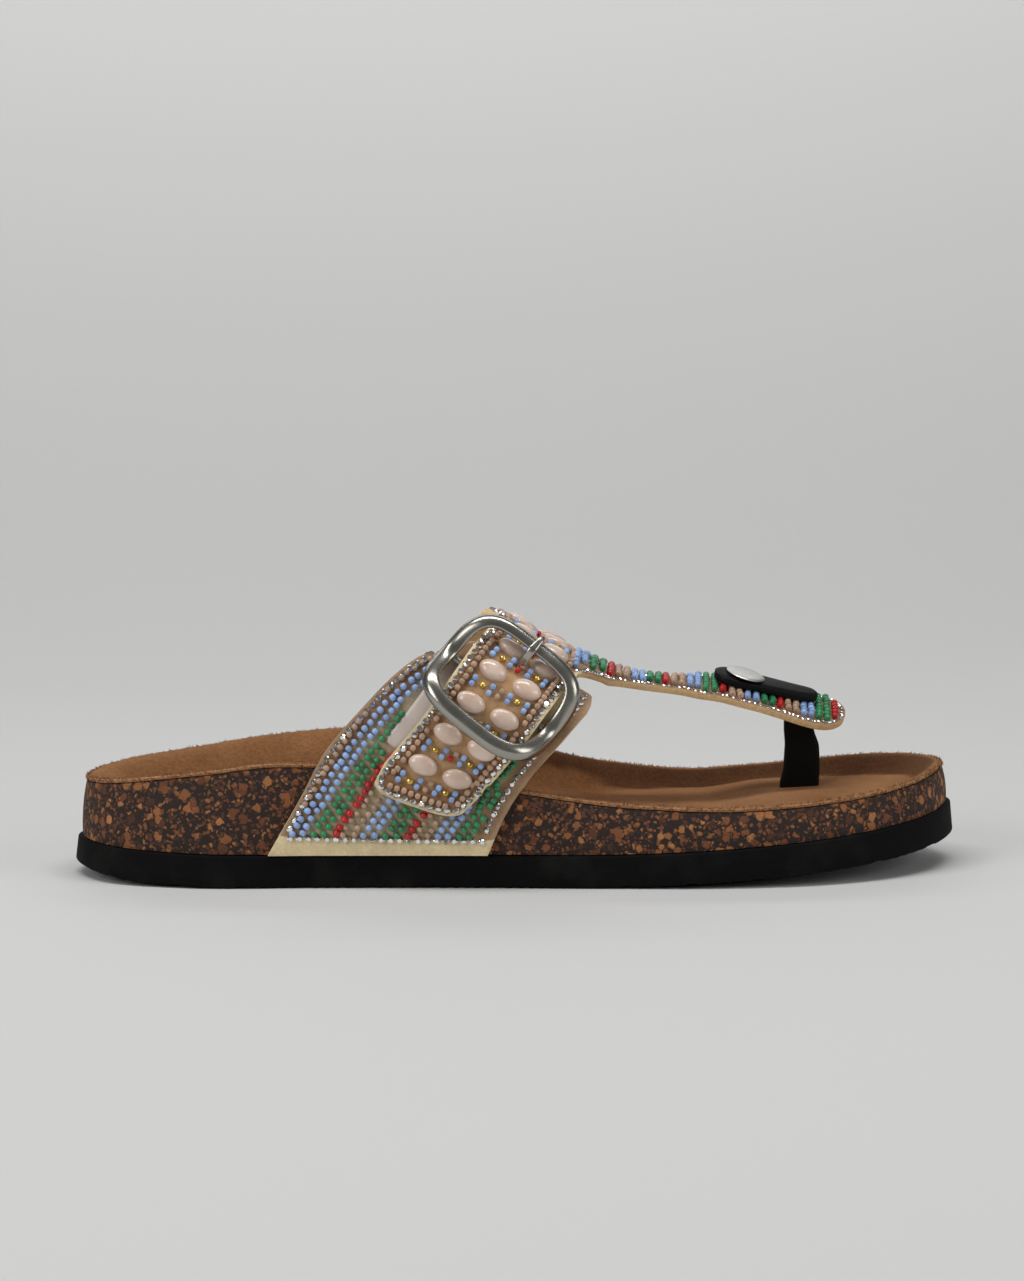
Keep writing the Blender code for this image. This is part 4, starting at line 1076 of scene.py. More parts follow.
@dataclass
class Footbed:
    """Cork block under the suede, and the suede sheet over it with its raw, fuzzy edge."""

    form: FootForm
    insole_thickness: float = 1.0
    rim_flat: float = 1.8
    rim_round: float = 0.35
    count: int = 400
    wall_rows: int = 9
    bed_rows: int = 26
    band_fade: float = 0.8  # the wall under the rim gets painted shade in a band that fades over this width
    band_dark: float = 0.85
    heel_dark: float = 0.8  # the heel cup gets painted shade where it is steep instead
    heel_front: float = 12.0
    steep: float = 0.8
    fuzz_count: int = 9000
    fuzz_depth: float = 1.6  # how far in from the edge it grows
    fuzz_length: float = 0.7
    fuzz_width: float = 0.15

    def bed(self, rings: Rings) -> Array:
        """The insole's upper face as rings: a flat rim that rounds off, a slope by 3t^2 - 2t^3, and the bed.

        Args:
            rings: the rings round the footbed.

        Returns:
            Rows of points, from the rim to the spine.
        """
        form = self.form
        rim, slope = rings.side(""), rings.side("slope_")
        edge = rings.inset(form.cork_draft)
        rows = []
        for share in np.linspace(0, 1, self.bed_rows) ** 1.5:
            ring = edge + (rings.spine - edge) * share
            inside = rings.reach - np.linalg.norm(ring - rings.spine, axis=1) - form.cork_draft
            bed = smooth(form.rim["x"], form.rim["bed"], ring[:, 0])
            drop = self.rim_round * np.clip(1 - inside / self.rim_flat, 0, 1) ** 2 * 0.6
            rows.append(raised(ring, bed + (rim - bed) * (1 - ease((inside - self.rim_flat) / slope)) - drop))
        return np.stack(rows)

    def build_cork(self) -> None:
        """The block: a base on the sole, a wall that leans in and bulges, and a top under the suede."""
        form, rings = self.form, Rings(self.form, self.count)
        rows = []
        for share in (0.0, 0.5, 0.9, 1.0):
            ring = rings.share(share)
            rows.append(raised(ring, form.sole_top(ring[:, 0]) + form.gap))
        surface = self.bed(rings)
        under = surface - (0, 0, self.insole_thickness + form.gap)
        base, outward = rows[-1], -rings.ray / rings.reach[:, None]
        for share in np.linspace(0, 1, self.wall_rows)[1:]:
            wall = base + (under[0] - base) * share
            wall[:, :2] += outward * form.cork_bulge * 4 * share * (1 - share)
            rows.append(wall)
        whole = np.concatenate([np.stack(rows), under[1::3], under[-1:]])
        make_piece(
            "footbed_cork", Surface.grid(whole, wrap_columns=True), [PressedCork()], ("footbed",), 40
        )

    def build_insole(self) -> None:
        """The suede: the bed's rings, thickened downwards, with painted shade where it is steep and paler on its rim.
        """
        rings = Rings(self.form, self.count)
        points = self.bed(rings)
        rise = np.linalg.norm(np.gradient(points, axis=0)[..., :2], axis=2)
        steep = np.abs(np.gradient(points[..., 2], axis=0)) / np.maximum(rise, 1e-6)
        inside = np.linalg.norm(points[..., :2] - points[0, :, :2], axis=2)
        station = points[..., 0]
        # The wall attribute is painted shade: a band under the rim, narrower towards the heel, and the steep heel
        # cup. It is below zero on the paler rim.
        deep = rings.side("slope_") * (0.4 + 0.6 * ease((station - 15) / 30))
        inward = inside - self.rim_flat
        band = ease(inward / self.band_fade) * (1 - ease((inward - deep) / self.band_fade))
        heel = self.heel_dark * ease((steep - self.steep) / self.steep) * ease(1 - station / self.heel_front)
        wall = np.maximum(heel, self.band_dark * band * ease(station / self.heel_front))
        wall = wall - ease(1 - inside / self.rim_flat)
        surface = Surface.grid(points, wrap_columns=True)
        suede = SplitSuede()
        made = make_piece(
            "insole_suede", surface, [suede, suede, CutFelt("suede_edge", "#C89468", "#9A6A44")],
            ("insole",), closed=False, attributes={"wall": wall.ravel()},
        )
        turn_up(made)
        thicken(made, self.insole_thickness, -1, Wall.FACE, Wall.EDGE)

    def build_fuzz(self) -> None:
        """Loose fibres on the suede's raw edge: thin three-sided spikes that lean out and up by chance."""
        rng = np.random.default_rng(11)
        rings = Rings(self.form, self.count)
        rows = self.bed(rings)
        place = rng.random(self.fuzz_count) * self.count
        low, part = place.astype(int), place % 1
        depth = rng.random(self.fuzz_count) ** 2 * self.fuzz_depth
        edge = rows[0][low] * (1 - part[:, None]) + rows[0][(low + 1) % self.count] * part[:, None]
        outward = np.column_stack([-rings.ray / rings.reach[:, None], np.zeros(self.count)])[low]
        drop = rng.random(self.fuzz_count) * self.insole_thickness * (depth < 0.3)
        origin = edge - outward * depth[:, None] - (0, 0, 1) * drop[:, None]
        lean = unit(outward * 0.5 + (0, 0, 0.7) + 0.6 * rng.standard_normal((self.fuzz_count, 3)))
        size = self.fuzz_length * (0.4 + rng.random(self.fuzz_count) ** 2 * 1.2)
        seats = Seats(
            origin, rng.standard_normal((self.fuzz_count, 3)), lean,
            np.stack([np.full(self.fuzz_count, self.fuzz_width)] * 2 + [size], 1), np.zeros(self.fuzz_count, int),
            rng.random(self.fuzz_count),
        )
        spike = Surface.grid(turned(np.array([(0, -0.05), (1, 0), (0, 1)], float), 3), wrap_columns=True)
        make_piece("insole_fuzz", spike.scattered(seats), [SuedeFibre()])

    def build(self) -> None:
        """Builds cork, suede and fuzz."""
        self.build_cork()
        self.build_insole()
        self.build_fuzz()


# Straps


@dataclass
class Sheet:
    """An open sheet on the last: points, quads, border in order with the inside to the right, and hem as a mask."""

    points: Array
    quads: Array
    border: Array
    hem: Array
    past_rim: Array | float = 0.0  # added to the distance to the edge, so that the brown band beside the chain runs out to the edge
    eased: float = 0.35  # width of the bevel on its edges
    normals: Array = field(init=False)

    def __post_init__(self) -> None:
        """Works out the points' normals as the sum of their quads' own."""
        corner = self.points[self.quads]
        facing = np.cross(corner[:, 2] - corner[:, 0], corner[:, 3] - corner[:, 1])
        total = np.zeros_like(self.points)
        for k in range(4):
            np.add.at(total, self.quads[:, k], facing)
        self.normals = unit(total)

    def edge_distance(self, points: Array) -> Array:
        """Each point's distance to the border, measured to the border's segments.

        Args:
            points: points near the sheet.

        Returns:
            One distance for each.
        """
        loop = self.points[self.border]
        start, run = loop, np.roll(loop, -1, 0) - loop
        from_start = points[:, None] - start[None]
        span = np.maximum((run**2).sum(1), 1e-12)
        t = np.clip((from_start * run).sum(2) / span, 0, 1)
        return np.linalg.norm(from_start - t[..., None] * run, axis=2).min(1)

    def inset_path(self, order: Array, distance: Array | float, lift: float) -> tuple[Array, Array]:
        """A path that runs inside part of the border.

        Args:
            order: the border's vertex numbers along that part.
            distance: how far in it runs.
            lift: how far out from the sheet.

        Returns:
            The path's points and the sheet's normals there.
        """
        edge, normal = self.points[order], self.normals[order]
        ahead = unit(np.gradient(edge, axis=0))
        inward = unit(np.cross(ahead, normal))
        return edge + inward * np.reshape(distance, (-1, 1)) + normal * lift, normal

    def build(self, name: str, thickness: float, node_name: str, face: Microfibre) -> None:
        """The felt backing, thickened outwards, with its edges eased.

        Args:
            name: the piece's name.
            thickness: of the felt.
            node_name: the solid that it stands for.
            face: the finish of its outer face.
        """
        whole = Surface(self.points, self.quads, np.zeros(len(self.quads), int), np.full(len(self.points), 0.5))
        cut = CutFelt()
        edge = np.where(self.hem, -1.0, self.edge_distance(self.points) + self.past_rim)
        made = make_piece(
            name, whole, [face, cut, cut], (node_name,), closed=False, attributes={"edge": edge}
        )
        thicken(made, thickness, 1, Wall.LINING, Wall.EDGE)
        eased = made.modifiers.new("eased_edge", "BEVEL")
        eased.width = self.eased * MM
        eased.segments = 2
        eased.limit_method = "ANGLE"
        eased.angle_limit = math.radians(50)


@dataclass
class BeadWork:
    """Shapes and sizes shared by the beads, rhinestones and stones on the straps."""

    form: FootForm
    backing: float = 1.9
    nominal: float = 88.0
    hem: float = 3.1
    pale_hem: float = 4.4
    bead: float = 1.03  # radius
    chain_in: float = 1.5
    chain_pitch: float = 2.45
    hem_chain: float = 0.9  # how far over the hem its chain runs
    crystal: float = 1.06  # radius
    seat: float = 0.86  # how high a bead's middle is over the felt, in radii

    def bead_shape(self) -> Surface:
        """A pressed glass bead of radius 1 with its thread along X: a turned spheroid, dimpled at its thread holes.

        Returns:
            The shape.
        """
        half = np.array([(0, 0.25), (0.3, 0.82), (0.78, 0.62), (1, 0)])
        profile = np.concatenate([half[:3] * (1, -1), half[::-1]])
        return Surface.grid(turned(profile, 10)[..., [2, 0, 1]], wrap_columns=True)

    def crystal_shape(self) -> Surface:
        """A rhinestone of radius 1: an eight-sided metal cup with a cut crown and a flat table.

        Returns:
            The shape, its base at height 0.
        """
        profile = np.array([(0, 0), (0.98, 0), (1.0, 0.3), (0.92, 0.42), (0.55, 0.78), (0, 0.8)])
        return Surface.grid(turned(profile, 8), wrap_columns=True)

    def chain(self, path: Array, normal: Array, rng: Random, scale: float = 1.0) -> Seats:
        """Seats for a rhinestone chain along a path, a pitch apart.

        Args:
            path: the path's points on the felt.
            normal: the sheet's normals there.
            rng: turns and tints.
            scale: of the crystals and their pitch.

        Returns:
            The seats.
        """
        along = lengths(path)
        count = int(along[-1] / (self.chain_pitch * scale))
        places = (np.arange(count) + 0.5) * along[-1] / count
        origin = at_lengths(path, along, places)
        out = at_lengths(normal, along, places) + 0.1 * rng.standard_normal((count, 3))
        ahead = rng.standard_normal((count, 3))
        return Seats.of(origin, ahead, out, self.crystal * scale, np.zeros(count, int), rng)


@dataclass
class SidePanel:
    """Outer panel: striped columns of beads inside a rhinestone chain, on felt."""

    work: BeadWork
    strap: "InstepStrap"
    top: float = 0.68
    slant: float = 0.05
    corner: float = 5.0
    pull: float = 1.6
    end_share: float = 0.13
    first_row: float = 0.061  # shares of the section
    row_step: float = 0.0199
    jitter_up: float = 0.0016
    jitter: float = 0.1
    # A common striped repeat, charted as colour and distance from its first column.
    stripes: tuple[tuple[str, float], ...] = (
        ("B", 0.0), ("B", 2.3), ("G", 4.95), ("G", 7.3), ("R", 9.9), ("T", 11.5), ("T", 14.1),
    )
    repeat: float = 16.45
    repeats: int = 3
    rear_tan: float = -1.9
    lead: Table = table_field(
        "u offset", (0.06, 2.4), (0.1, 2.4), (0.15, 3.5), (0.2, 3.85), (0.25, 3.75), (0.3, 3.0), (0.35, 2.3),
        (0.4, 1.65), (0.45, 1.2), (0.5, 1.1), (0.55, 0.8), (0.66, 0.5),
    )
    # How far the columns at fan_width draw in as the panel narrows.
    fan: Table = table_field("u drop", (0.2, 0), (0.24, 3.6), (0.28, 6.2), (0.31, 8), (0.36, 12), (0.5, 13))
    fan_width: float = 42.0
    last_red: float = 0.075  # over this the third repeat's red column is green
    front_in: float = 3.0  # the chain's distance from the front edge
    tab_rear: float = -17.4
    tab_front: float = 10.5
    tab_low: float = 0.27
    tab_clear: float = 0.45  # from the tab to the beads beside it
    strap_half: float = 11.5  # no beads under the strap
    frame_front: float = 19.0  # inside the buckle's frame the panel is bare
    frame_low: float = 0.42
    edges: Table = table_field(
        "u rear front", (0.0, -73.5, -12.0), (0.14, -65.0, -6.7), (0.28, -57.4, 0.9), (0.42, -46.7, 10.2),
        (0.55, -36.0, 16.9), (0.65, -25.8, 19.5), (0.76, -13.0, 20.8),
    )

    def sheet(self, rows: int = 72, columns: int = 60) -> Sheet:
        """The panel's inner face: rows up the side, drawn round at the top corners.

        Args:
            rows: rows of points up the panel.
            columns: points along a row.

        Returns:
            The sheet.
        """
        row = np.linspace(0, self.top, rows)
        shift = self.slant * ease(row / self.top)
        rear = smooth(self.edges["u"], self.edges["rear"], row + shift)
        front = smooth(self.edges["u"], self.edges["front"], row - shift)
        half, across = ((front - rear) / 2)[:, None], np.linspace(-1, 1, columns)[None]
        draw = ease((row - self.top + self.end_share) / self.end_share)[:, None] * drawn_back(across)
        x = ((rear + front) / 2)[:, None] + half * across - draw * np.sign(across) * self.pull
        u = row[:, None] - shift[:, None] * across - draw * self.corner / self.work.nominal
        number = np.arange(rows * columns).reshape(rows, columns)
        self.rear_up, self.along_top, self.front_down = number[:, 0], number[-1, 1:], number[-2::-1, -1]
        border = np.concatenate([self.rear_up, self.along_top, self.front_down, number[0, -2:0:-1]])
        surface = Surface.grid(self.work.form.lifted(x, u))
        return Sheet(surface.points, surface.quads, border, (u < self.work.pale_hem / self.work.nominal).ravel())

    def rear_at(self, u: Array) -> Array:
        """Station of the rear edge at a share up the panel."""
        return smooth(self.edges["u"], self.edges["rear"], u + self.slant * ease(u / self.top))

    def columns(self, rng: Random) -> tuple[Seats, Array]:
        """Bead seats in rows of equal share and columns that run beside the rear edge, square to its lean.

        Args:
            rng: small shifts and tints.

        Returns:
            Every seat, before those at the edges and under the tab are left out, and their (x, u).
        """
        form, work, step = self.work.form, self.work, 0.01
        chart = [(letter, at + k * self.repeat) for k in range(self.repeats) for letter, at in self.stripes]
        chart.insert(0, ("T", self.rear_tan))
        slots = Bead.numbers("".join(letter for letter, _ in chart))
        rows = np.arange(self.first_row, self.top, self.row_step)
        u, column = (part.ravel() for part in np.meshgrid(rows, np.arange(len(chart)), indexing="ij"))
        u = u + self.jitter_up * rng.standard_normal(len(u))
        apart, kind = np.array([at for _, at in chart])[column], slots[column]
        red, green = Bead.numbers("RG")
        kind = np.where((kind == red) & (apart > 2 * self.repeat) & (u > self.last_red), green, kind)
        closer = smooth(self.fan["u"], self.fan["drop"], u) * np.clip(apart / self.fan_width, 0, None) ** 1.5
        offset = smooth(self.lead["u"], self.lead["offset"], u) + apart - closer
        offset = offset + self.jitter * rng.standard_normal(len(u))
        lean = (self.rear_at(u + step) - self.rear_at(u - step)) / (2 * step * work.nominal)
        x = self.rear_at(u) + offset * np.hypot(1, lean)
        size = work.bead * Bead.sizes()[kind]
        origin = form.lifted(x, u, work.backing + work.seat * size)
        ahead = form.last(x + lean * step * work.nominal, u + step) - form.last(x, u)
        seats = Seats.of(origin, ahead, form.normal(x, u), 1.0, kind, rng)
        seats.size = seats.size * size[:, None]
        return seats, np.stack([x, u], 1)

    def build(self) -> None:
        """Builds felt, chain and beads."""
        rng = np.random.default_rng(3)
        work, sheet = self.work, self.sheet()
        face = Microfibre("panel_felt_face", "#A5876A", "#9C7A5A", "#C2B090")
        sheet.build("panel_felt", work.backing, "side_panel", face)
        order = np.concatenate([self.rear_up, self.along_top, self.front_down])
        across = np.linspace(0, 1, len(self.along_top))
        inset = [np.full(len(self.rear_up), work.chain_in), work.chain_in + (self.front_in - work.chain_in) * across]
        inset.append(np.full(len(self.front_down), self.front_in))
        path, normal = sheet.inset_path(order, np.concatenate(inset), work.backing)
        hem_u = (work.hem + work.hem_chain) / work.nominal
        over_hem = path[:, 2] > work.form.last(path[:, 0], np.full(len(path), hem_u))[:, 2] + 0.6 * work.chain_pitch
        path, normal = path[over_hem], normal[over_hem]
        hem_x = np.linspace(path[0, 0] - 0.6, path[-1, 0] + 0.6, 60)
        hem_path = work.form.lifted(hem_x, np.full(60, hem_u), work.backing)
        hem_normal = work.form.normal(hem_x, np.full(60, hem_u))
        chain = Seats.joined([work.chain(path, normal, rng), work.chain(hem_path, hem_normal, rng)])
        make_piece("panel_chain", work.crystal_shape().scattered(chain), [CutCrystal()], sharp=15)

        beads, place = self.columns(rng)
        u_row, width = self.strap.coordinates(place[:, 0], place[:, 1])
        covered = (width > self.tab_rear - self.tab_clear) & (width < self.tab_front + self.tab_clear)
        covered &= u_row > self.tab_low - self.tab_clear / work.nominal
        covered |= (np.abs(width) < self.strap_half) & (u_row > self.tab_low)
        covered |= (width > 0) & (width < self.frame_front) & (u_row > self.frame_low)
        clear = sheet.edge_distance(beads.origin) > work.chain_in + work.crystal + 0.62 * work.bead
        beads = beads.kept(self.within(place) & clear & ~covered)
        make_piece("panel_beads", work.bead_shape().scattered(beads), Bead.finishes())

    def within(self, place: Array) -> Array:
        """Whether places (x, u) lie between the panel's rear edge and its front chain, and below its top."""
        x, u = place.T
        rear, front = (smooth(self.edges["u"], self.edges[name], u) for name in ("rear", "front"))
        step = 0.01
        lean = (smooth(self.edges["u"], self.edges["front"], u + step) - front) / (step * self.work.nominal)
        room = (self.front_in + self.work.crystal + 0.45 * self.work.bead) * np.hypot(1, lean)
        row = u + self.slant * (2 * (x - rear) / (front - rear) - 1)
        return (x > rear) & (x < front - room) & (row < self.top)


@dataclass
class InstepStrap:
    """Where the instep strap runs: from its tail over the ridge to the inner sole edge."""

    form: FootForm
    nominal: float = 88.0
    tail_corner: float = 7.0
    tail_share: float = 0.12
    rows: Table = table_field(
        "u x half slant lift", (0.15, -32.8, 13.6, 15, 4.0), (0.26, -25.4, 13.4, 17, 4.0),
        (0.37, -17.4, 13.2, 19, 4.7), (0.51, -8.8, 13.2, 22, 7.7), (0.59, -4.5, 13.2, 26, 7.0),
        (0.66, -1.2, 13.2, 27, 4.5), (0.76, 1.8, 13.2, 23, 4.1), (0.86, 3.0, 13.2, 12, 1.5),
        (1.0, 3.4, 13.2, 0, 0.0), (1.3, 0.2, 15.0, 0, 0.0), (1.65, -11.8, 21.0, 0, 0.0), (2.0, -28.8, 30.0, 0, 0.0),
    )

    def row(self, u: Array, column: str) -> Array:
        """A column of the strap's table at the given shares."""
        return smooth(self.rows["u"], self.rows[column], u)

    def place(self, u_row: Array, width: Array) -> tuple[Array, Array]:
        """(x, u) of places on the strap: a row's share, and the distance in front of its middle line."""
        slant = np.radians(self.row(u_row, "slant"))
        return self.row(u_row, "x") + width * np.cos(slant), u_row - width * np.sin(slant) / self.nominal

    def coordinates(self, x: Array, u: Array) -> tuple[Array, Array]:
        """The inverse of place, by a few rounds of closing in: row share and width over (x, u)."""
        u_row = np.array(u, float)
        for _ in range(6):
            slant = np.radians(self.row(u_row, "slant"))
            width = (x - self.row(u_row, "x")) / np.cos(slant)
            u_row = u + width * np.sin(slant) / self.nominal
        return u_row, width

    def point(self, u_row: Array, width: Array, lift: float) -> Array:
        """Points over the strap's inner face."""
        u_row, width = np.broadcast_arrays(np.asarray(u_row, float), np.asarray(width, float))
        return self.form.lifted(*self.place(u_row, width), self.row(u_row, "lift") + lift)

    def stations(self, places: Array, lift: float) -> Array:
        """Row shares at lengths along the strap's outer face from the tail.

        Args:
            places: the lengths.
            lift: height of that face over the inner one.

        Returns:
            The shares.
        """
        u_row = np.linspace(self.rows["u"][0], self.rows["u"][-1], 400)
        return np.interp(places, lengths(self.point(u_row, np.zeros(400), lift)), u_row)

    def seats(self, u_row: Array, width: Array, lift: float, size: float, slot: Array, rng: Random) -> Seats:
        """Seats on the strap with X across it to the front and Z out.

        Args:
            u_row: row shares.
            width: distances in front of the middle line.
            lift: height over the strap's inner face.
            size: the scale of what sits there.
            slot: finish numbers.
            rng: tints.

        Returns:
            The seats.
        """
        ahead = self.point(u_row, width + 1, lift) - self.point(u_row, width - 1, lift)
        up = self.point(u_row + 0.02, width, lift) - self.point(u_row - 0.02, width, lift)
        return Seats.of(self.point(u_row, width, lift), ahead, np.cross(ahead, up), size, slot, rng)


@dataclass
class ToeStrap:
    """Where the toe strap runs: along the ridge from the instep strap to its round end over the toes."""

    form: FootForm
    end_round: float = 10.0
    end_squareness: float = 2.2
    rows: Table = table_field(
        "x outer inner lean", (16.8, 27.4, 15.2, 0.06), (19, 25.0, 13.3, 0.06), (21.2, 21.3, 11.8, 0.06),
        (24, 15.2, 10.2, 0.065), (28, 11.1, 8.9, 0.07), (36, 8.0, 7.2, 0.08), (46, 6.5, 7.0, 0.15),
        (54, 7.8, 8.8, 0.24), (61, 9.2, 9.6, 0.23), (69.5, 11.0, 10.0, 0.20), (78, 10.8, 10.0, 0.25),
        (88, 10.5, 10.0, 0.34), (97.4, 9.6, 9.6, 0.40),
    )

    def row(self, x: Array, column: str) -> Array:
        """A column of the strap's table at the given stations."""
        return smooth(self.rows["x"], self.rows[column], np.asarray(x, float))

    def beside(self, x: Array, share: Array) -> Array:
        """Distances from the ridge at shares across the strap, from -1 at its outer edge to 1 at its inner."""
        return share * np.where(share < 0, self.row(x, "outer"), self.row(x, "inner"))

    def point(self, x: Array, beside: Array, lift: Array | float) -> Array:
        """Points over the strap's inner face: a station, the distance from the ridge and the height out."""
        x, beside = np.broadcast_arrays(np.asarray(x, float), np.asarray(beside, float))
        lean = self.row(x, "lean") * beside
        return self.form.lifted(x, self.form.beside_ridge(x, beside), np.asarray(lift, float) + lean)

    def place(self, x: float) -> Place:
        """A place under the strap's middle: X along it, Y beside and Z out."""
        ahead = self.point(x + 1, 0.0, 0.0) - self.point(x - 1, 0.0, 0.0)
        side = self.point(x, 1.0, 0.0) - self.point(x, -1.0, 0.0)
        return Place.of(self.point(x, 0.0, 0.0), ahead, np.cross(ahead, side))


@dataclass
class Upper:
    """Instep strap and toe strap as one felt wall, with stones, beads and a rhinestone chain on it."""

    work: BeadWork
    instep: InstepStrap
    toe: ToeStrap
    root_outer: float = 0.29  # shares of the section to each side of the ridge
    root_inner: float = 0.2
    root_fade: float = 9.0
    stone_size: tuple[float, float] = (4.3, 2.85)
    stone_first: float = 12.4
    stone_pitch: float = 11.1
    stone_across: float = 5.0
    stone_pairs: int = 14
    stone_top: float = 4.85
    side_first: float = 10.0  # beads beside the stones: first column and pitch
    side_pitch: float = 2.15
    tail_rows: tuple[float, float] = (3.4, 5.4)  # rows of tan beads before the first stones
    tail_reach: float = 8.6
    tail_pitch: float = 2.0
    small_bead: float = 0.97
    jitter: float = 0.08
    bead_face: float = 1.7  # how high over the felt lengths along the strap are measured
    toe_chain: float = 0.66  # scale of the toe strap's crystals
    toe_chain_in: float = 1.1
    rod_bead: float = 1.08
    rod_pitch: float = 2.44
    rod_first: float = 15.79
    rod_middle: float = -4.0  # from the ridge, where the rows' stations are measured
    rod_beads: tuple[int, int] = (-16, 10)  # the beads of a row, numbered from the ridge
    rod_close: float = 0.9  # their pitch in beads
    rod_slant: float = 0.12  # how far a row runs back for each mm to the outer side
    rod_reach: float = 1.6  # a bead further than this from the sheet's points is off it
    rod_chart: str = "BBGGR" + 4 * "TTBBGGR"
    gap_chart: tuple[tuple[float, float, str], ...] = (
        (-7.7, 1.05, "B"), (-7.7, -1.05, "B"), (-4.9, -0.2, "O"), (-2.5, 1.05, "B"), (-2.5, -1.05, "B"),
        (0.0, -0.9, "R"), (0.3, 1.1, "T"), (2.7, 1.05, "B"), (2.7, -1.05, "B"), (5.2, 0.2, "O"), (7.7, 1.05, "B"),
        (7.7, -1.05, "B"),
    )

    def sheet(self) -> Sheet:
        """The inner face: a band from tail to sole, and a tongue of rows from the band's front edge to the tip.

        Returns:
            The sheet, with the border's stretches kept for the chain.
        """
        instep, toe = self.instep, self.toe
        tail, base = instep.rows["u"][0], instep.rows["u"][-1]
        low, high = 1 - self.root_outer, 1 + self.root_inner
        root_count, columns = 41, 31
        lateral = np.linspace(tail, low, 60)[:-1]
        shares = np.concatenate([lateral, np.linspace(low, high, root_count), np.linspace(high, base, 70)[1:]])
        root = slice(len(lateral), len(lateral) + root_count)
        half, across = instep.row(shares, "half")[:, None], np.linspace(-1, 1, columns)[None]
        draw = ease(1 - (shares - tail) / instep.tail_share)[:, None] * drawn_back(across)
        u_row = shares[:, None] + draw * instep.tail_corner / instep.nominal
        width = half * across
        x, u = instep.place(u_row, width)
        band = self.work.form.lifted(x, u, instep.row(u_row, "lift"))

        root_x, end_x = toe.rows["x"][[0, -1]]
        stations = root_x + (end_x - root_x) * np.sin(np.linspace(0, math.pi / 2, 96)[1:])
        share = np.linspace(-1, 1, root_count)[None]
        closing = np.clip(1 + (stations - end_x) / toe.end_round, 0, 1) ** toe.end_squareness
        beside = toe.beside(stations[:, None], share) * ((1 - closing) ** (1 / toe.end_squareness))[:, None]
        front_lift = instep.row(shares[root], "lift") - toe.rows["lean"][0] * toe.beside(root_x, share[0])
        fade = 1 - ease((stations - root_x) / self.root_fade)[:, None]
        toe_x = stations[:, None] + (x[root, -1] - root_x)[None] * fade
        lift = fade * front_lift[None]
        tongue = toe.point(toe_x, beside, lift)
        number = np.arange(len(shares) * columns).reshape(len(shares), columns)
        tip = number.size + np.arange(tongue[..., 0].size).reshape(tongue.shape[:2])
        strip = np.concatenate([number[root, -1][None], tip])
        front = (root, slice(2 * columns // 3, None))
        beyond = self.work.form.from_ridge(x[front], u[front])
        band_lift = instep.row(u_row[front], "lift") - toe.row(x[front], "lean") * beyond
        flat = [(x[front], beyond, band_lift, number[front]), (toe_x, beside, lift, tip)]
        self.strung = np.concatenate([np.stack([*part], -1).reshape(-1, 4) for part in flat])
        quads = np.concatenate([quads_between(number), quads_between(strip.T)])
        self.around = np.concatenate(
            [
                number[: root.stop - 1 : -1, -1], strip[:, -1], strip[-2::-1, 0], number[root.start - 1 :: -1, -1],
                number[0, -2:0:-1], number[:, 0],
            ]
        )
        stretches = [len(shares) - root.stop, 2 * len(strip) - 1, root.start + columns - 2 + len(shares)]
        self.stretch = np.repeat(np.arange(3), stretches)  # before, round and after the toe strap
        border = np.concatenate([self.around, number[-1, 1:-1]])
        points = np.concatenate([band.reshape(-1, 3), tongue.reshape(-1, 3)])
        hem = np.zeros(len(points), bool)
        hem[: u_row.size] = (u_row > 2 - self.work.pale_hem / self.work.nominal).ravel()
        past_rim = np.where(np.arange(len(points)) < u_row.size, 0.0, 1.1)
        return Sheet(points, quads, border, hem, past_rim)

    def stone_shape(self) -> Surface:
        """A cabochon of half sizes one: a short straight wall and a round dome up to height one."""
        profile = np.array(
            [(0, 0), (0.97, 0), (1, 0.3), (0.97, 0.5), (0.9, 0.66), (0.78, 0.8), (0.6, 0.9), (0.35, 0.97), (0, 1)]
        )
        return Surface.grid(turned(profile, 28), wrap_columns=True)

    def build_stones(self, rng: Random) -> None:
        """Cabochons two by two along the strap, on the felt."""
        work = self.work
        face = work.backing + self.bead_face
        shares = self.instep.stations(self.stone_first + self.stone_pitch * np.arange(self.stone_pairs), face)
        u_row = np.repeat(shares, 2)
        width = np.tile([-self.stone_across, self.stone_across], self.stone_pairs)
        seats = self.instep.seats(u_row, width, work.backing, 1.0, 0, rng)
        seats.size = np.tile([*self.stone_size, self.stone_top - work.backing], (len(u_row), 1))
        nodes = tuple(f"stone_{k + 1:02d}" for k in range(2 * self.stone_pairs))
        make_piece("instep_stones", self.stone_shape().scattered(seats), [PolishedResin()], nodes, 60)

    def gap_beads(self) -> tuple[Array, Array, Array]:
        """Beads charted between the rows of stones.

        Returns:
            Lengths along the strap, distances across it, and finish numbers.
        """
        rows = np.arange(self.stone_pairs + 1)
        middle = self.stone_first + self.stone_pitch * (rows - 0.5)
        chart = np.array([(a, b) for a, b, _ in self.gap_chart])
        numbers = Bead.numbers("".join(letter for _, _, letter in self.gap_chart))
        along = (middle[:, None] + chart[None, :, 1]).ravel()
        across = np.tile(chart[:, 0], len(rows))
        slots = np.tile(numbers, len(rows)).reshape(len(rows), -1)
        tan, red = Bead.numbers("TR")
        slots[::3] = np.where(slots[::3] == red, tan, slots[::3])
        return along, across, slots.ravel()

    def side_beads(self, length: float) -> tuple[Array, Array, Array]:
        """Tan beads along the chain, and striped columns outside them where the strap widens.

        Args:
            length: of the strap's outer face.

        Returns:
            Lengths along the strap, distances across it, and finish numbers.
        """
        places = np.arange(3.2, length, 2 * self.small_bead + 0.12)
        numbers = np.concatenate([[0], Bead.numbers(2 * STRIPES)])
        columns = self.side_first + self.side_pitch * np.arange(10)
        side, column, along = np.meshgrid([-1.0, 1.0], np.arange(len(columns)), places, indexing="ij")
        along = along + (column % 2) * self.small_bead
        return along.ravel(), (side * columns[column]).ravel(), numbers[column].ravel()

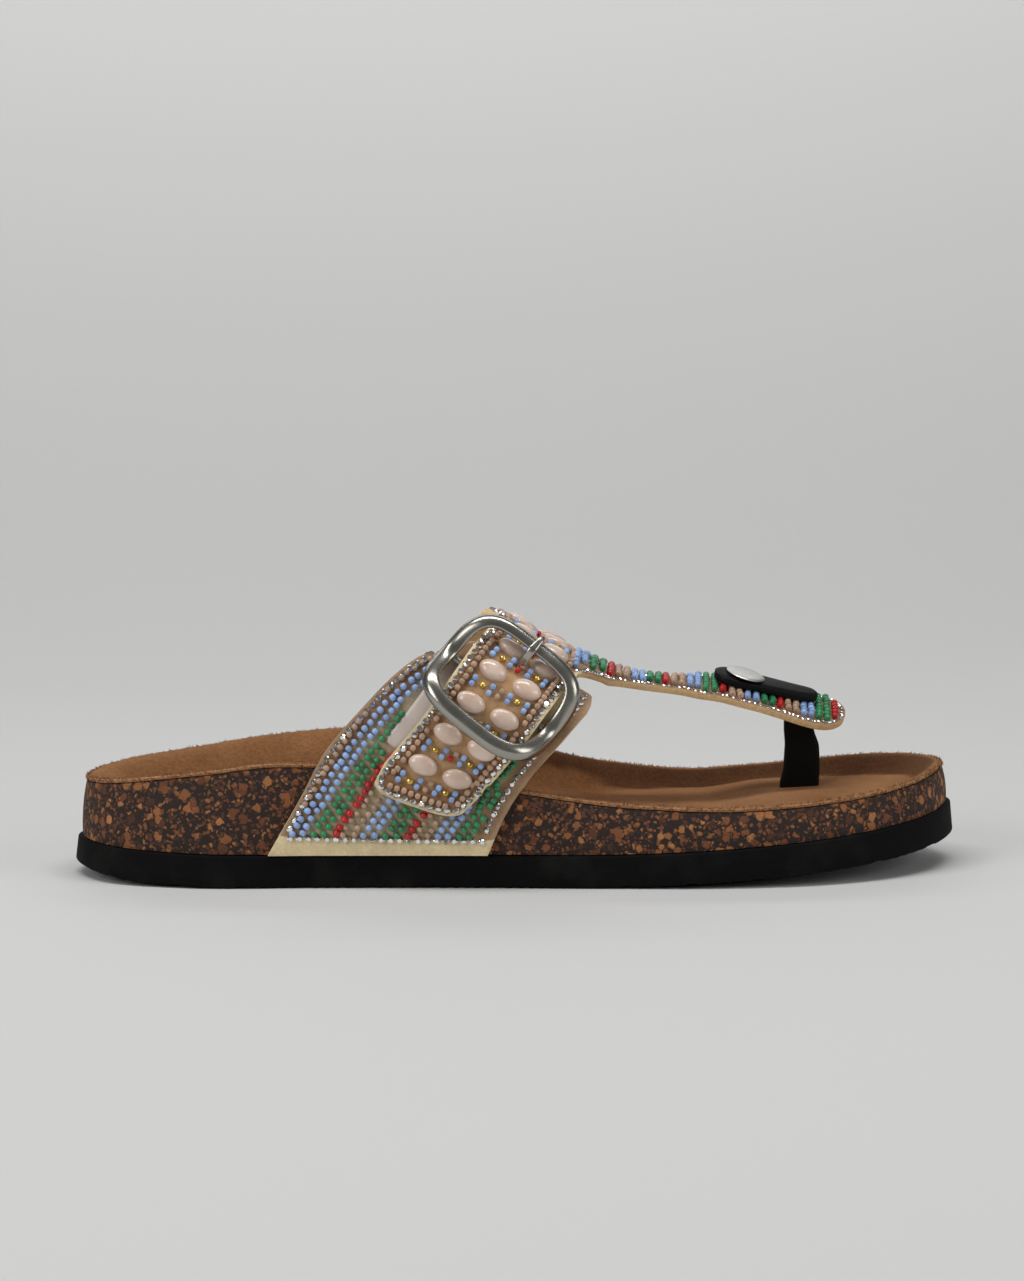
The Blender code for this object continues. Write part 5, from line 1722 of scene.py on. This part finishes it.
    def build_instep_beads(self, sheet: Sheet, rng: Random) -> None:
        """Beads between the stones and beside them, left out where they meet a stone or the chain."""
        work, instep = self.work, self.instep
        lift = work.backing + work.seat * self.small_bead
        u_all = np.linspace(instep.rows["u"][0], instep.rows["u"][-1], 400)
        length = lengths(instep.point(u_all, np.zeros(400), work.backing + self.bead_face))[-1]
        in_row = np.arange(-self.tail_reach, self.tail_reach + 0.1, self.tail_pitch)
        tail = [part.ravel() for part in np.meshgrid(self.tail_rows, in_row, indexing="ij")]
        tail.append(np.zeros(tail[0].size, int))
        parts = [self.gap_beads(), tail, self.side_beads(length)]
        along, across, slots = (np.concatenate([part[k] for part in parts]) for k in range(3))
        along = along + self.jitter * rng.standard_normal(len(along))
        across = across + self.jitter * rng.standard_normal(len(across))
        rank = np.repeat(np.arange(3), [len(part[0]) for part in parts])
        row = np.clip(np.round((along - self.stone_first) / self.stone_pitch), 0, self.stone_pairs - 1)
        from_stone = along - self.stone_first - self.stone_pitch * row
        room = np.array(self.stone_size) + self.small_bead * 0.8
        off = ((np.abs(across) - self.stone_across) / room[0]) ** 2 + (from_stone / room[1]) ** 2 > 1
        last_stone = self.stone_first + self.stone_pitch * (self.stone_pairs - 1)
        off |= along > last_stone + room[1]
        u_row = instep.stations(along, work.backing + self.bead_face)
        seats = instep.seats(u_row, across, lift, self.small_bead, slots, rng)
        gold = (slots == Bead.numbers("O"))[:, None]  # sewn flat, with the hole out
        seats.along, seats.out = np.where(gold, seats.out, seats.along), np.where(gold, seats.along, seats.out)
        clear = sheet.edge_distance(seats.origin) > work.chain_in + work.crystal + self.small_bead * 0.9
        inside = np.abs(across) < instep.row(u_row, "half") - work.chain_in
        over_hem = u_row < 2 - (work.hem + 1.0 + work.crystal + self.small_bead) / instep.nominal
        keep = off & clear & inside & over_hem & (along > 2.5)
        spaced = self.spaced(np.stack([along, across], 1), rank, keep)
        make_piece("instep_beads", work.bead_shape().scattered(seats.kept(spaced)), Bead.finishes())

    def spaced(self, flat: Array, rank: Array, keep: Array) -> Array:
        """Leaves out a bead of a later rank that overlaps one of an earlier rank.

        Args:
            flat: lengths and distances across.
            rank: which set each bead is from.
            keep: which are kept so far.

        Returns:
            The new mask.
        """
        apart = np.linalg.norm(flat[:, None] - flat[None], axis=2)
        earlier = (rank[None] < rank[:, None]) & keep[None]
        return keep & ~((apart < 1.75 * self.small_bead) & earlier).any(1)

    def build_rods(self, sheet: Sheet, rng: Random) -> None:
        """Straight rows of beads across the toe strap, one colour a row, charted from the instep to the tip.

        Each bead's station is shifted until the bead stands over its row, as the lift off the last leans forward.
        """
        work, toe, bead = self.work, self.toe, self.rod_bead
        stations = self.rod_first + self.rod_pitch * np.arange(len(self.rod_chart))
        start = toe.point(stations, self.rod_middle, work.backing + work.seat * bead)
        in_row = np.arange(*self.rod_beads) * 2 * bead * self.rod_close
        target, beside = np.meshgrid(start[:, 0] - self.rod_slant * start[:, 1], in_row, indexing="ij")
        slots = np.repeat(Bead.numbers(self.rod_chart), target.shape[1])
        target, beside = target.ravel() + 0.1 * rng.standard_normal(target.size), beside.ravel()
        x = target
        for _ in range(4):
            apart = np.hypot(x[:, None] - self.strung[None, :, 0], beside[:, None] - self.strung[None, :, 1])
            nearest = apart.argmin(1)
            normal = sheet.normals[self.strung[nearest, 3].astype(int)]
            foot = toe.point(x, beside, self.strung[nearest, 2] + work.backing)
            origin = foot + normal * work.seat * bead
            x = x + target + self.rod_slant * origin[:, 1] - origin[:, 0]
        across = toe.point(x, beside + 1, 0.0) - toe.point(x, beside - 1, 0.0)
        seats = Seats.of(origin, across, normal, bead, slots, rng)
        room = self.toe_chain_in + self.toe_chain * work.crystal + bead * 0.25
        clear = sheet.edge_distance(foot - normal * work.backing) > room
        over = apart.min(1) < self.rod_reach
        make_piece(
            "toe_strap_beads", work.bead_shape().scattered(seats.kept(clear & over)), Bead.finishes()
        )

    def build(self) -> None:
        """Builds felt, chain, stones and beads."""
        rng = np.random.default_rng(7)
        work, sheet = self.work, self.sheet()
        face = Microfibre("strap_felt_face", "#E0CCA4", "#A47C56", "#C09A70")
        sheet.build("upper_felt", work.backing, "t_strap", face)
        inset = np.where(self.stretch == 1, self.toe_chain_in, work.chain_in)
        path, normal = sheet.inset_path(self.around, inset, work.backing)
        hem_u = 2 - (work.hem + work.hem_chain) / work.nominal
        floor = self.instep.point(hem_u, 0.0, 0.0)[2] - 0.3
        over_hem = (path[:, 2] > floor) | (path[:, 1] < 0)
        parts = [over_hem & (self.stretch == k) for k in range(3)]
        reach = self.instep.row(np.array(hem_u), "half") - 3.2
        width = np.linspace(-reach, reach, 80)
        hem_x, hem_at = self.instep.place(np.full(80, hem_u), width)
        hem_path = work.form.lifted(hem_x, hem_at, work.backing)
        scales = (1.0, self.toe_chain, 1.0)
        chains = [work.chain(path[part], normal[part], rng, scale) for part, scale in zip(parts, scales)]
        chain = Seats.joined([*chains, work.chain(hem_path, work.form.normal(hem_x, hem_at), rng)])
        make_piece("upper_chain", work.crystal_shape().scattered(chain), [CutCrystal()], sharp=15)
        self.build_stones(rng)
        self.build_instep_beads(sheet, rng)
        self.build_rods(sheet, rng)


# Toe post, rivet and buckle


@dataclass
class ToePost:
    """Moulded plate on the toe strap with a flat post down into the footbed, and the rivet through the plate."""

    work: BeadWork
    toe: ToeStrap
    bed: float = 1.7
    thickness: float = 2.4
    post_y: float = 17.4
    rivet_x: float = 65.4
    rivet_radius: float = 5.8
    rivet_dome: float = 0.9
    rivet_seat: float = 0.35
    shank_radius: float = 1.6
    cap_radius: float = 3.4
    cap: float = 0.9
    plate: Table = table_field(
        "x half", (57.3, 0), (57.9, 2.8), (60, 5.0), (64.6, 6.2), (71, 5.6), (79, 4.1), (85.5, 3.0),
        (87.9, 1.8), (88.6, 0),
    )
    post: Table = table_field(
        "z x width thickness", (14.7, 84.1, 11.6, 2.8), (20.6, 84.0, 11.6, 2.8), (26.0, 84.6, 10.8, 2.7),
        (32.0, 84.7, 10.2, 2.6), (38.0, 83.7, 8.8, 2.6), (48.4, 83.7, 8.8, 2.6),
    )

    def plate_surface(self) -> Surface:
        """The plate: its outline shrunk level by level, flat below, with a rounded, bevelled top.

        Returns:
            The surface.
        """
        turn = (1 - np.cos(np.linspace(0, math.pi, 41))) / 2
        x = self.plate["x"][0] + turn * (self.plate["x"][-1] - self.plate["x"][0])
        half = smooth(self.plate["x"], self.plate["half"], x)
        loop = np.concatenate([np.stack([x, -half], 1), np.stack([x, half], 1)[-2:0:-1]])
        centre = self.plate["x"].mean()
        middle = np.stack([(loop[:, 0] - centre) * 0.6 + centre, np.zeros(len(loop))], 1)
        low = self.work.backing + self.bed + self.work.form.gap
        levels = table(
            "share rise", (0.0, 0.0), (0.5, 0.0), (0.92, 0.0), (0.98, 0.12), (1.0, 0.4), (1.0, 1.6), (0.985, 1.9),
            (0.95, 2.05), (0.86, 2.33), (0.8, 2.4), (0.5, 2.43), (0.0, 2.45),
        )
        rows = []
        for share, rise in zip(levels["share"], levels["rise"]):
            ring = middle + (loop - middle) * share
            rows.append(self.toe.point(ring[:, 0], ring[:, 1], low + rise))
        return Surface.grid(np.stack(rows), wrap_columns=True)

    def post_surface(self) -> Surface:
        """The post: rounded rectangles from its foot in the cork up into the plate.

        Returns:
            The surface.
        """
        z = np.linspace(self.post["z"][0], self.post["z"][-1] - 1.5, 30)
        centre, width, thick = (smooth(self.post["z"], self.post[name], z) for name in ("x", "width", "thickness"))
        across, deep = superellipse(np.linspace(0, 2 * math.pi, 40, endpoint=False), 5.0)
        grid = np.stack(
            np.broadcast_arrays(
                centre[:, None] + width[:, None] / 2 * across[None], self.post_y + thick[:, None] / 2 * deep[None],
                z[:, None],
            ),
            2,
        )
        ends = [np.broadcast_to(row.mean(0), row.shape)[None] for row in (grid[0], grid[-1])]
        return Surface.grid(np.concatenate([ends[0], grid, ends[1]]), wrap_columns=True)

    def build(self) -> None:
        """Builds plate with post, and rivet."""
        whole = Surface.joined([self.plate_surface(), self.post_surface()])
        finish = MouldedBlack("moulded_post", "#030303", 0.55, 0.5, 0.12, gloss=0.16)
        make_piece("toe_post_moulding", whole, [finish], ("toe_post",), 35)
        r, dome, gap = self.rivet_radius, self.rivet_dome, self.work.form.gap
        top = self.work.backing + self.bed + gap + self.thickness + self.rivet_seat
        profile = np.array(
            [
                (0, top + dome), (0.3 * r, top + dome * 0.97), (0.55 * r, top + dome * 0.9),
                (0.75 * r, top + dome * 0.79), (0.88 * r, top + dome * 0.66), (0.96 * r, top + dome * 0.5),
                (r, top + dome * 0.25), (0.98 * r, top), (self.shank_radius, top), (self.shank_radius, -gap),
                (self.cap_radius, -gap), (self.cap_radius * 0.9, -gap - self.cap), (0, -gap - self.cap),
            ]
        )
        local = turned(profile, 56)
        place = self.toe.place(self.rivet_x)
        surface = Surface.grid(place.put(local), wrap_columns=True)
        nickel = SatinNickel("rivet_nickel", "#CFCECA", 0.36, 0.46)
        make_piece("rivet_turned", surface, [nickel], ("rivet",), 40)


@dataclass
class Buckle:
    """Arched frame with its centre bar, the prong round the bar, and the clear tab that holds the bar."""

    work: BeadWork
    instep: InstepStrap
    share: float = 0.51
    forward: float = -0.75
    up: float = 0.5
    turn: float = -10.4  # degrees, to the front of the strap
    half_across: float = 18.2
    half_along: float = 15.7
    squareness: float = 3.6
    low: float = 5.7
    arch: float = 5.0
    width: float = 4.6
    height: float = 3.2
    crest_in: float = 0.32  # how far the section's crest leans in, as a share of its half width
    bar_radius: float = 0.9
    bar_height: float = 4.9
    eye_radius: float = 2.35
    eye_play: float = 0.25
    prong_width: float = 2.4
    prong_thickness: float = 1.2
    tab_thickness: float = 0.8
    tab_corner: float = 2.0
    tab_rear: float = -17.4
    tab_front: float = 10.5
    tab_low: float = 0.27
    tab_high: float = 0.55
    prong: Table = table_field(
        "along out", (0.0, 6.3), (4.0, 6.1), (7.0, 6.6), (9.3, 8.9), (11.3, 11.9), (13.5, 13.4), (16.2, 13.4),
        (18.6, 12.9),
    )

    def place(self) -> Place:
        """The buckle's middle on the last: X across the strap to the front, Y up it, Z out."""
        form, row = self.work.form, np.array(self.share)
        x, u = self.instep.place(row, np.array(0.0))
        origin = form.last(x, u)
        ahead = form.last(*self.instep.place(row, np.array(0.5))) - origin
        place = Place.of(origin, ahead, form.normal(x, u))
        place.origin = place.origin + place.axes[0] * self.forward + place.axes[1] * self.up
        turn = math.radians(self.turn)
        ahead = place.axes[0] * math.cos(turn) + place.axes[1] * math.sin(turn)
        return Place.of(place.origin, ahead, place.axes[2])

    def frame_surface(self) -> Surface:
        """A leaning oval section carried round a squarish loop that arches up at its two ends.

        Returns:
            The surface, in the buckle's own axes.
        """
        turn = np.linspace(0, 2 * math.pi, 720)
        x, y = superellipse(turn, self.squareness)
        loop = np.stack([x * self.half_across, y * self.half_along], 1)
        along = lengths(loop)
        loop = at_lengths(loop, along, np.linspace(0, along[-1], 161)[:-1])
        rise = self.low + self.arch * ease(np.abs(loop[:, 1]) / self.half_along)
        middle = np.column_stack([loop, rise])
        ahead = np.roll(middle, -1, 0) - np.roll(middle, 1, 0)
        side = unit(np.cross(ahead, (0.0, 0.0, 1.0)))
        up = unit(np.cross(side, ahead))
        across, out = superellipse(np.linspace(0, 2 * math.pi, 28, endpoint=False), 2.6)
        section = np.stack([self.width / 2 * (0.92 * across - self.crest_in * out), self.height / 2 * out], 1)
        return Surface.grid(swept(middle, side, up, section), wrap_rows=True, wrap_columns=True)

    def bar_surface(self) -> Surface:
        """The bar, turned about its own length across the strap."""
        reach, r = self.half_across, self.bar_radius
        local = turned(np.array([(0, -reach), (r, -reach), (r, reach), (0, reach)]), 20)
        return Surface.grid(local[..., [2, 0, 1]] + (0, 0, self.bar_height), wrap_columns=True)

    def prong_surface(self) -> Surface:
        """A rounded flat section carried along the prong's path, drawn in at its tip, and the eye round the bar.

        Returns:
            The surface, in the buckle's own axes.
        """
        along = np.linspace(self.prong["along"][0], self.prong["along"][-1], 60)
        out = smooth(self.prong["along"], self.prong["out"], along)
        path = np.column_stack([np.zeros(60), along, out])
        ahead = unit(np.gradient(path, axis=0))
        side = np.tile((1.0, 0.0, 0.0), (60, 1))
        up = np.cross(side, ahead)
        across, deep = superellipse(np.linspace(0, 2 * math.pi, 24, endpoint=False), 3.5)
        section = np.stack([self.prong_width / 2 * across, self.prong_thickness / 2 * deep], 1)
        left = np.clip((along[-1] - along) / 1.4, 0, 1)
        taper = (1 - 0.3 * ease((along - 12) / 6)) * np.sqrt(1 - (1 - left) ** 2)
        body = Surface.grid(swept(path, side, up, section, np.maximum(taper, 1e-3)), wrap_columns=True)
        start = np.broadcast_to(path[0], (1, 24, 3))
        grid = np.concatenate([start, body.points.reshape(60, 24, 3), np.broadcast_to(path[-1], (1, 24, 3))])
        half = self.prong_width / 2 + 0.2
        wall = (self.eye_radius - self.bar_radius - self.eye_play) / 2
        mid = self.eye_radius - wall
        a, b = superellipse(np.linspace(0, 2 * math.pi, 16, endpoint=False), 4.0)
        local = turned(np.stack([mid + wall * a, half * b], 1), 36)
        eye = Surface.grid(local[..., [2, 0, 1]] + (0, 0, self.bar_height), wrap_rows=True, wrap_columns=True)
        return Surface.joined([Surface.grid(grid, wrap_columns=True), eye])

    def build_tab(self) -> None:
        """The tab: a thin sheet on the panel, round at its lower corners, under the bar."""
        rows, columns = np.linspace(self.tab_low, self.tab_high, 30), np.linspace(self.tab_rear, self.tab_front, 30)
        u_row, across = np.meshgrid(rows, columns, indexing="ij")
        middle = (self.tab_rear + self.tab_front) / 2
        draw = ease(1 - (u_row - self.tab_low) / 0.04) * drawn_back((across - middle) / (self.tab_front - middle))
        x, u = self.instep.place(u_row + draw * self.tab_corner / self.work.nominal, across)
        face = self.work.form.lifted(x, u, self.work.backing + self.work.form.gap)
        made = make_piece(
            "buckle_tab_vinyl", Surface.grid(face), [CloudyVinyl()], ("buckle_tab",), closed=False
        )
        thicken(made, self.tab_thickness, 1)

    def build(self) -> None:
        """Builds frame with bar, prong and tab."""
        place, nickel = self.place(), SatinNickel()
        for name, surface, node_name in (
            ("buckle_frame_cast", Surface.joined([self.frame_surface(), self.bar_surface()]), "buckle_frame"),
            ("buckle_prong_bent", self.prong_surface(), "buckle_prong"),
        ):
            surface.points = place.put(surface.points)
            make_piece(name, surface, [nickel], (node_name,), 40)
        self.build_tab()


# Studio


@dataclass
class Studio:
    """Paper sweep, soft lights and the camera, where the photograph was taken from."""

    camera_place: tuple[float, float, float] = (-0.08542, -1.08300, 0.17689)
    camera_turn: tuple[float, float, float] = (84.169, 0.0, -4.378)
    lens: float = 106.45
    world_strength: float = 0.2

    def build_camera(self) -> None:
        """The camera, with no shift and no depth of field."""
        data = bpy.data.cameras.new("camera")
        data.lens = self.lens
        data.sensor_width = 36.0
        data.clip_start, data.clip_end = 0.05, 50.0
        camera = bpy.data.objects.new("camera", data)
        camera.location = self.camera_place
        camera.rotation_euler = [math.radians(a) for a in self.camera_turn]
        bpy.context.scene.collection.objects.link(camera)
        bpy.context.scene.camera = camera

    def build_sweep(self) -> None:
        """The paper: a level floor, a quarter round and a wall, as one profile carried sideways."""
        turn = np.linspace(0, math.pi / 2, 40)
        radius, front, back, top = 2.6, -6.0, 0.5, 4.2
        curve = np.stack([back + radius * np.sin(turn), radius - radius * np.cos(turn)], 1)
        profile = np.concatenate([[(front, 0)], curve, [(back + radius, top)]])
        x = np.linspace(-6.0, 6.0, 2)
        grid = np.stack(np.broadcast_arrays(x[None], profile[:, :1], profile[:, 1:]), 2)
        surface = Surface.grid(grid)
        mesh = bpy.data.meshes.new("paper_sweep")
        mesh.from_pydata(surface.points.tolist(), [], surface.quads.tolist())
        mesh.shade_smooth()
        mesh.materials.append(PaperSweep().material())
        sweep = bpy.data.objects.new("paper_sweep", mesh)
        bpy.context.scene.collection.objects.link(sweep)
        turn_up(sweep)

    def build_light(self, name: str, place: tuple, aim: tuple, size: tuple, power: float) -> None:
        """A soft area light.

        Args:
            name: of the light.
            place: where it hangs.
            aim: what it points at.
            size: width and height in metres.
            power: in watts.
        """
        data = bpy.data.lights.new(name, "AREA")
        data.shape = "RECTANGLE"
        data.size, data.size_y = size
        data.energy = power
        lamp = bpy.data.objects.new(name, data)
        z = unit(np.subtract(place, aim))
        x = unit(np.cross((0.0, 1.0, 0.0) if abs(z[2]) > 0.9 else (0.0, 0.0, 1.0), z))
        matrix = np.eye(4)
        matrix[:3, :3] = np.stack([x, np.cross(z, x), z], 1)
        matrix[:3, 3] = place
        lamp.matrix_world = Matrix(matrix.tolist())
        bpy.context.scene.collection.objects.link(lamp)

    def build(self) -> None:
        """Builds camera, paper and lights."""
        self.build_camera()
        self.build_sweep()
        self.build_light("top_softbox", (-0.1, -0.2, 1.4), (0.0, -0.15, 0.0), (1.5, 0.25), 12.2)
        self.build_light("left_softbox", (-1.5, -1.2, 0.9), (0.0, 0.0, 0.05), (1.0, 1.0), 14.0)
        self.build_light("right_softbox", (1.6, -1.0, 0.8), (0.0, 0.0, 0.05), (1.0, 1.0), 9.0)
        self.build_light("wall_light", (0.0, 1.75, 1.5), (0.0, 1.95, 0.35), (2.6, 0.8), 16.5)
        scene = bpy.context.scene
        scene.world = scene.world or bpy.data.worlds.new("room")
        scene.world.use_nodes = True
        back = scene.world.node_tree.nodes["Background"]
        back.inputs["Color"].default_value = linear("#DADADA")
        back.inputs["Strength"].default_value = self.world_strength
        scene.view_settings.view_transform = "Standard"


def main() -> None:
    """Loads the frame and builds every class in order."""
    logging.basicConfig(level=logging.INFO, format="%(name)s %(message)s")
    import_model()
    Studio().build()
    form = FootForm()
    work = BeadWork(form)
    instep, toe = InstepStrap(form), ToeStrap(form)
    Outsole(form).build()
    Footbed(form).build()
    SidePanel(work, instep).build()
    Upper(work, instep, toe).build()
    ToePost(work, toe).build()
    Buckle(work, instep).build()


if __name__ == "__main__":
    main()
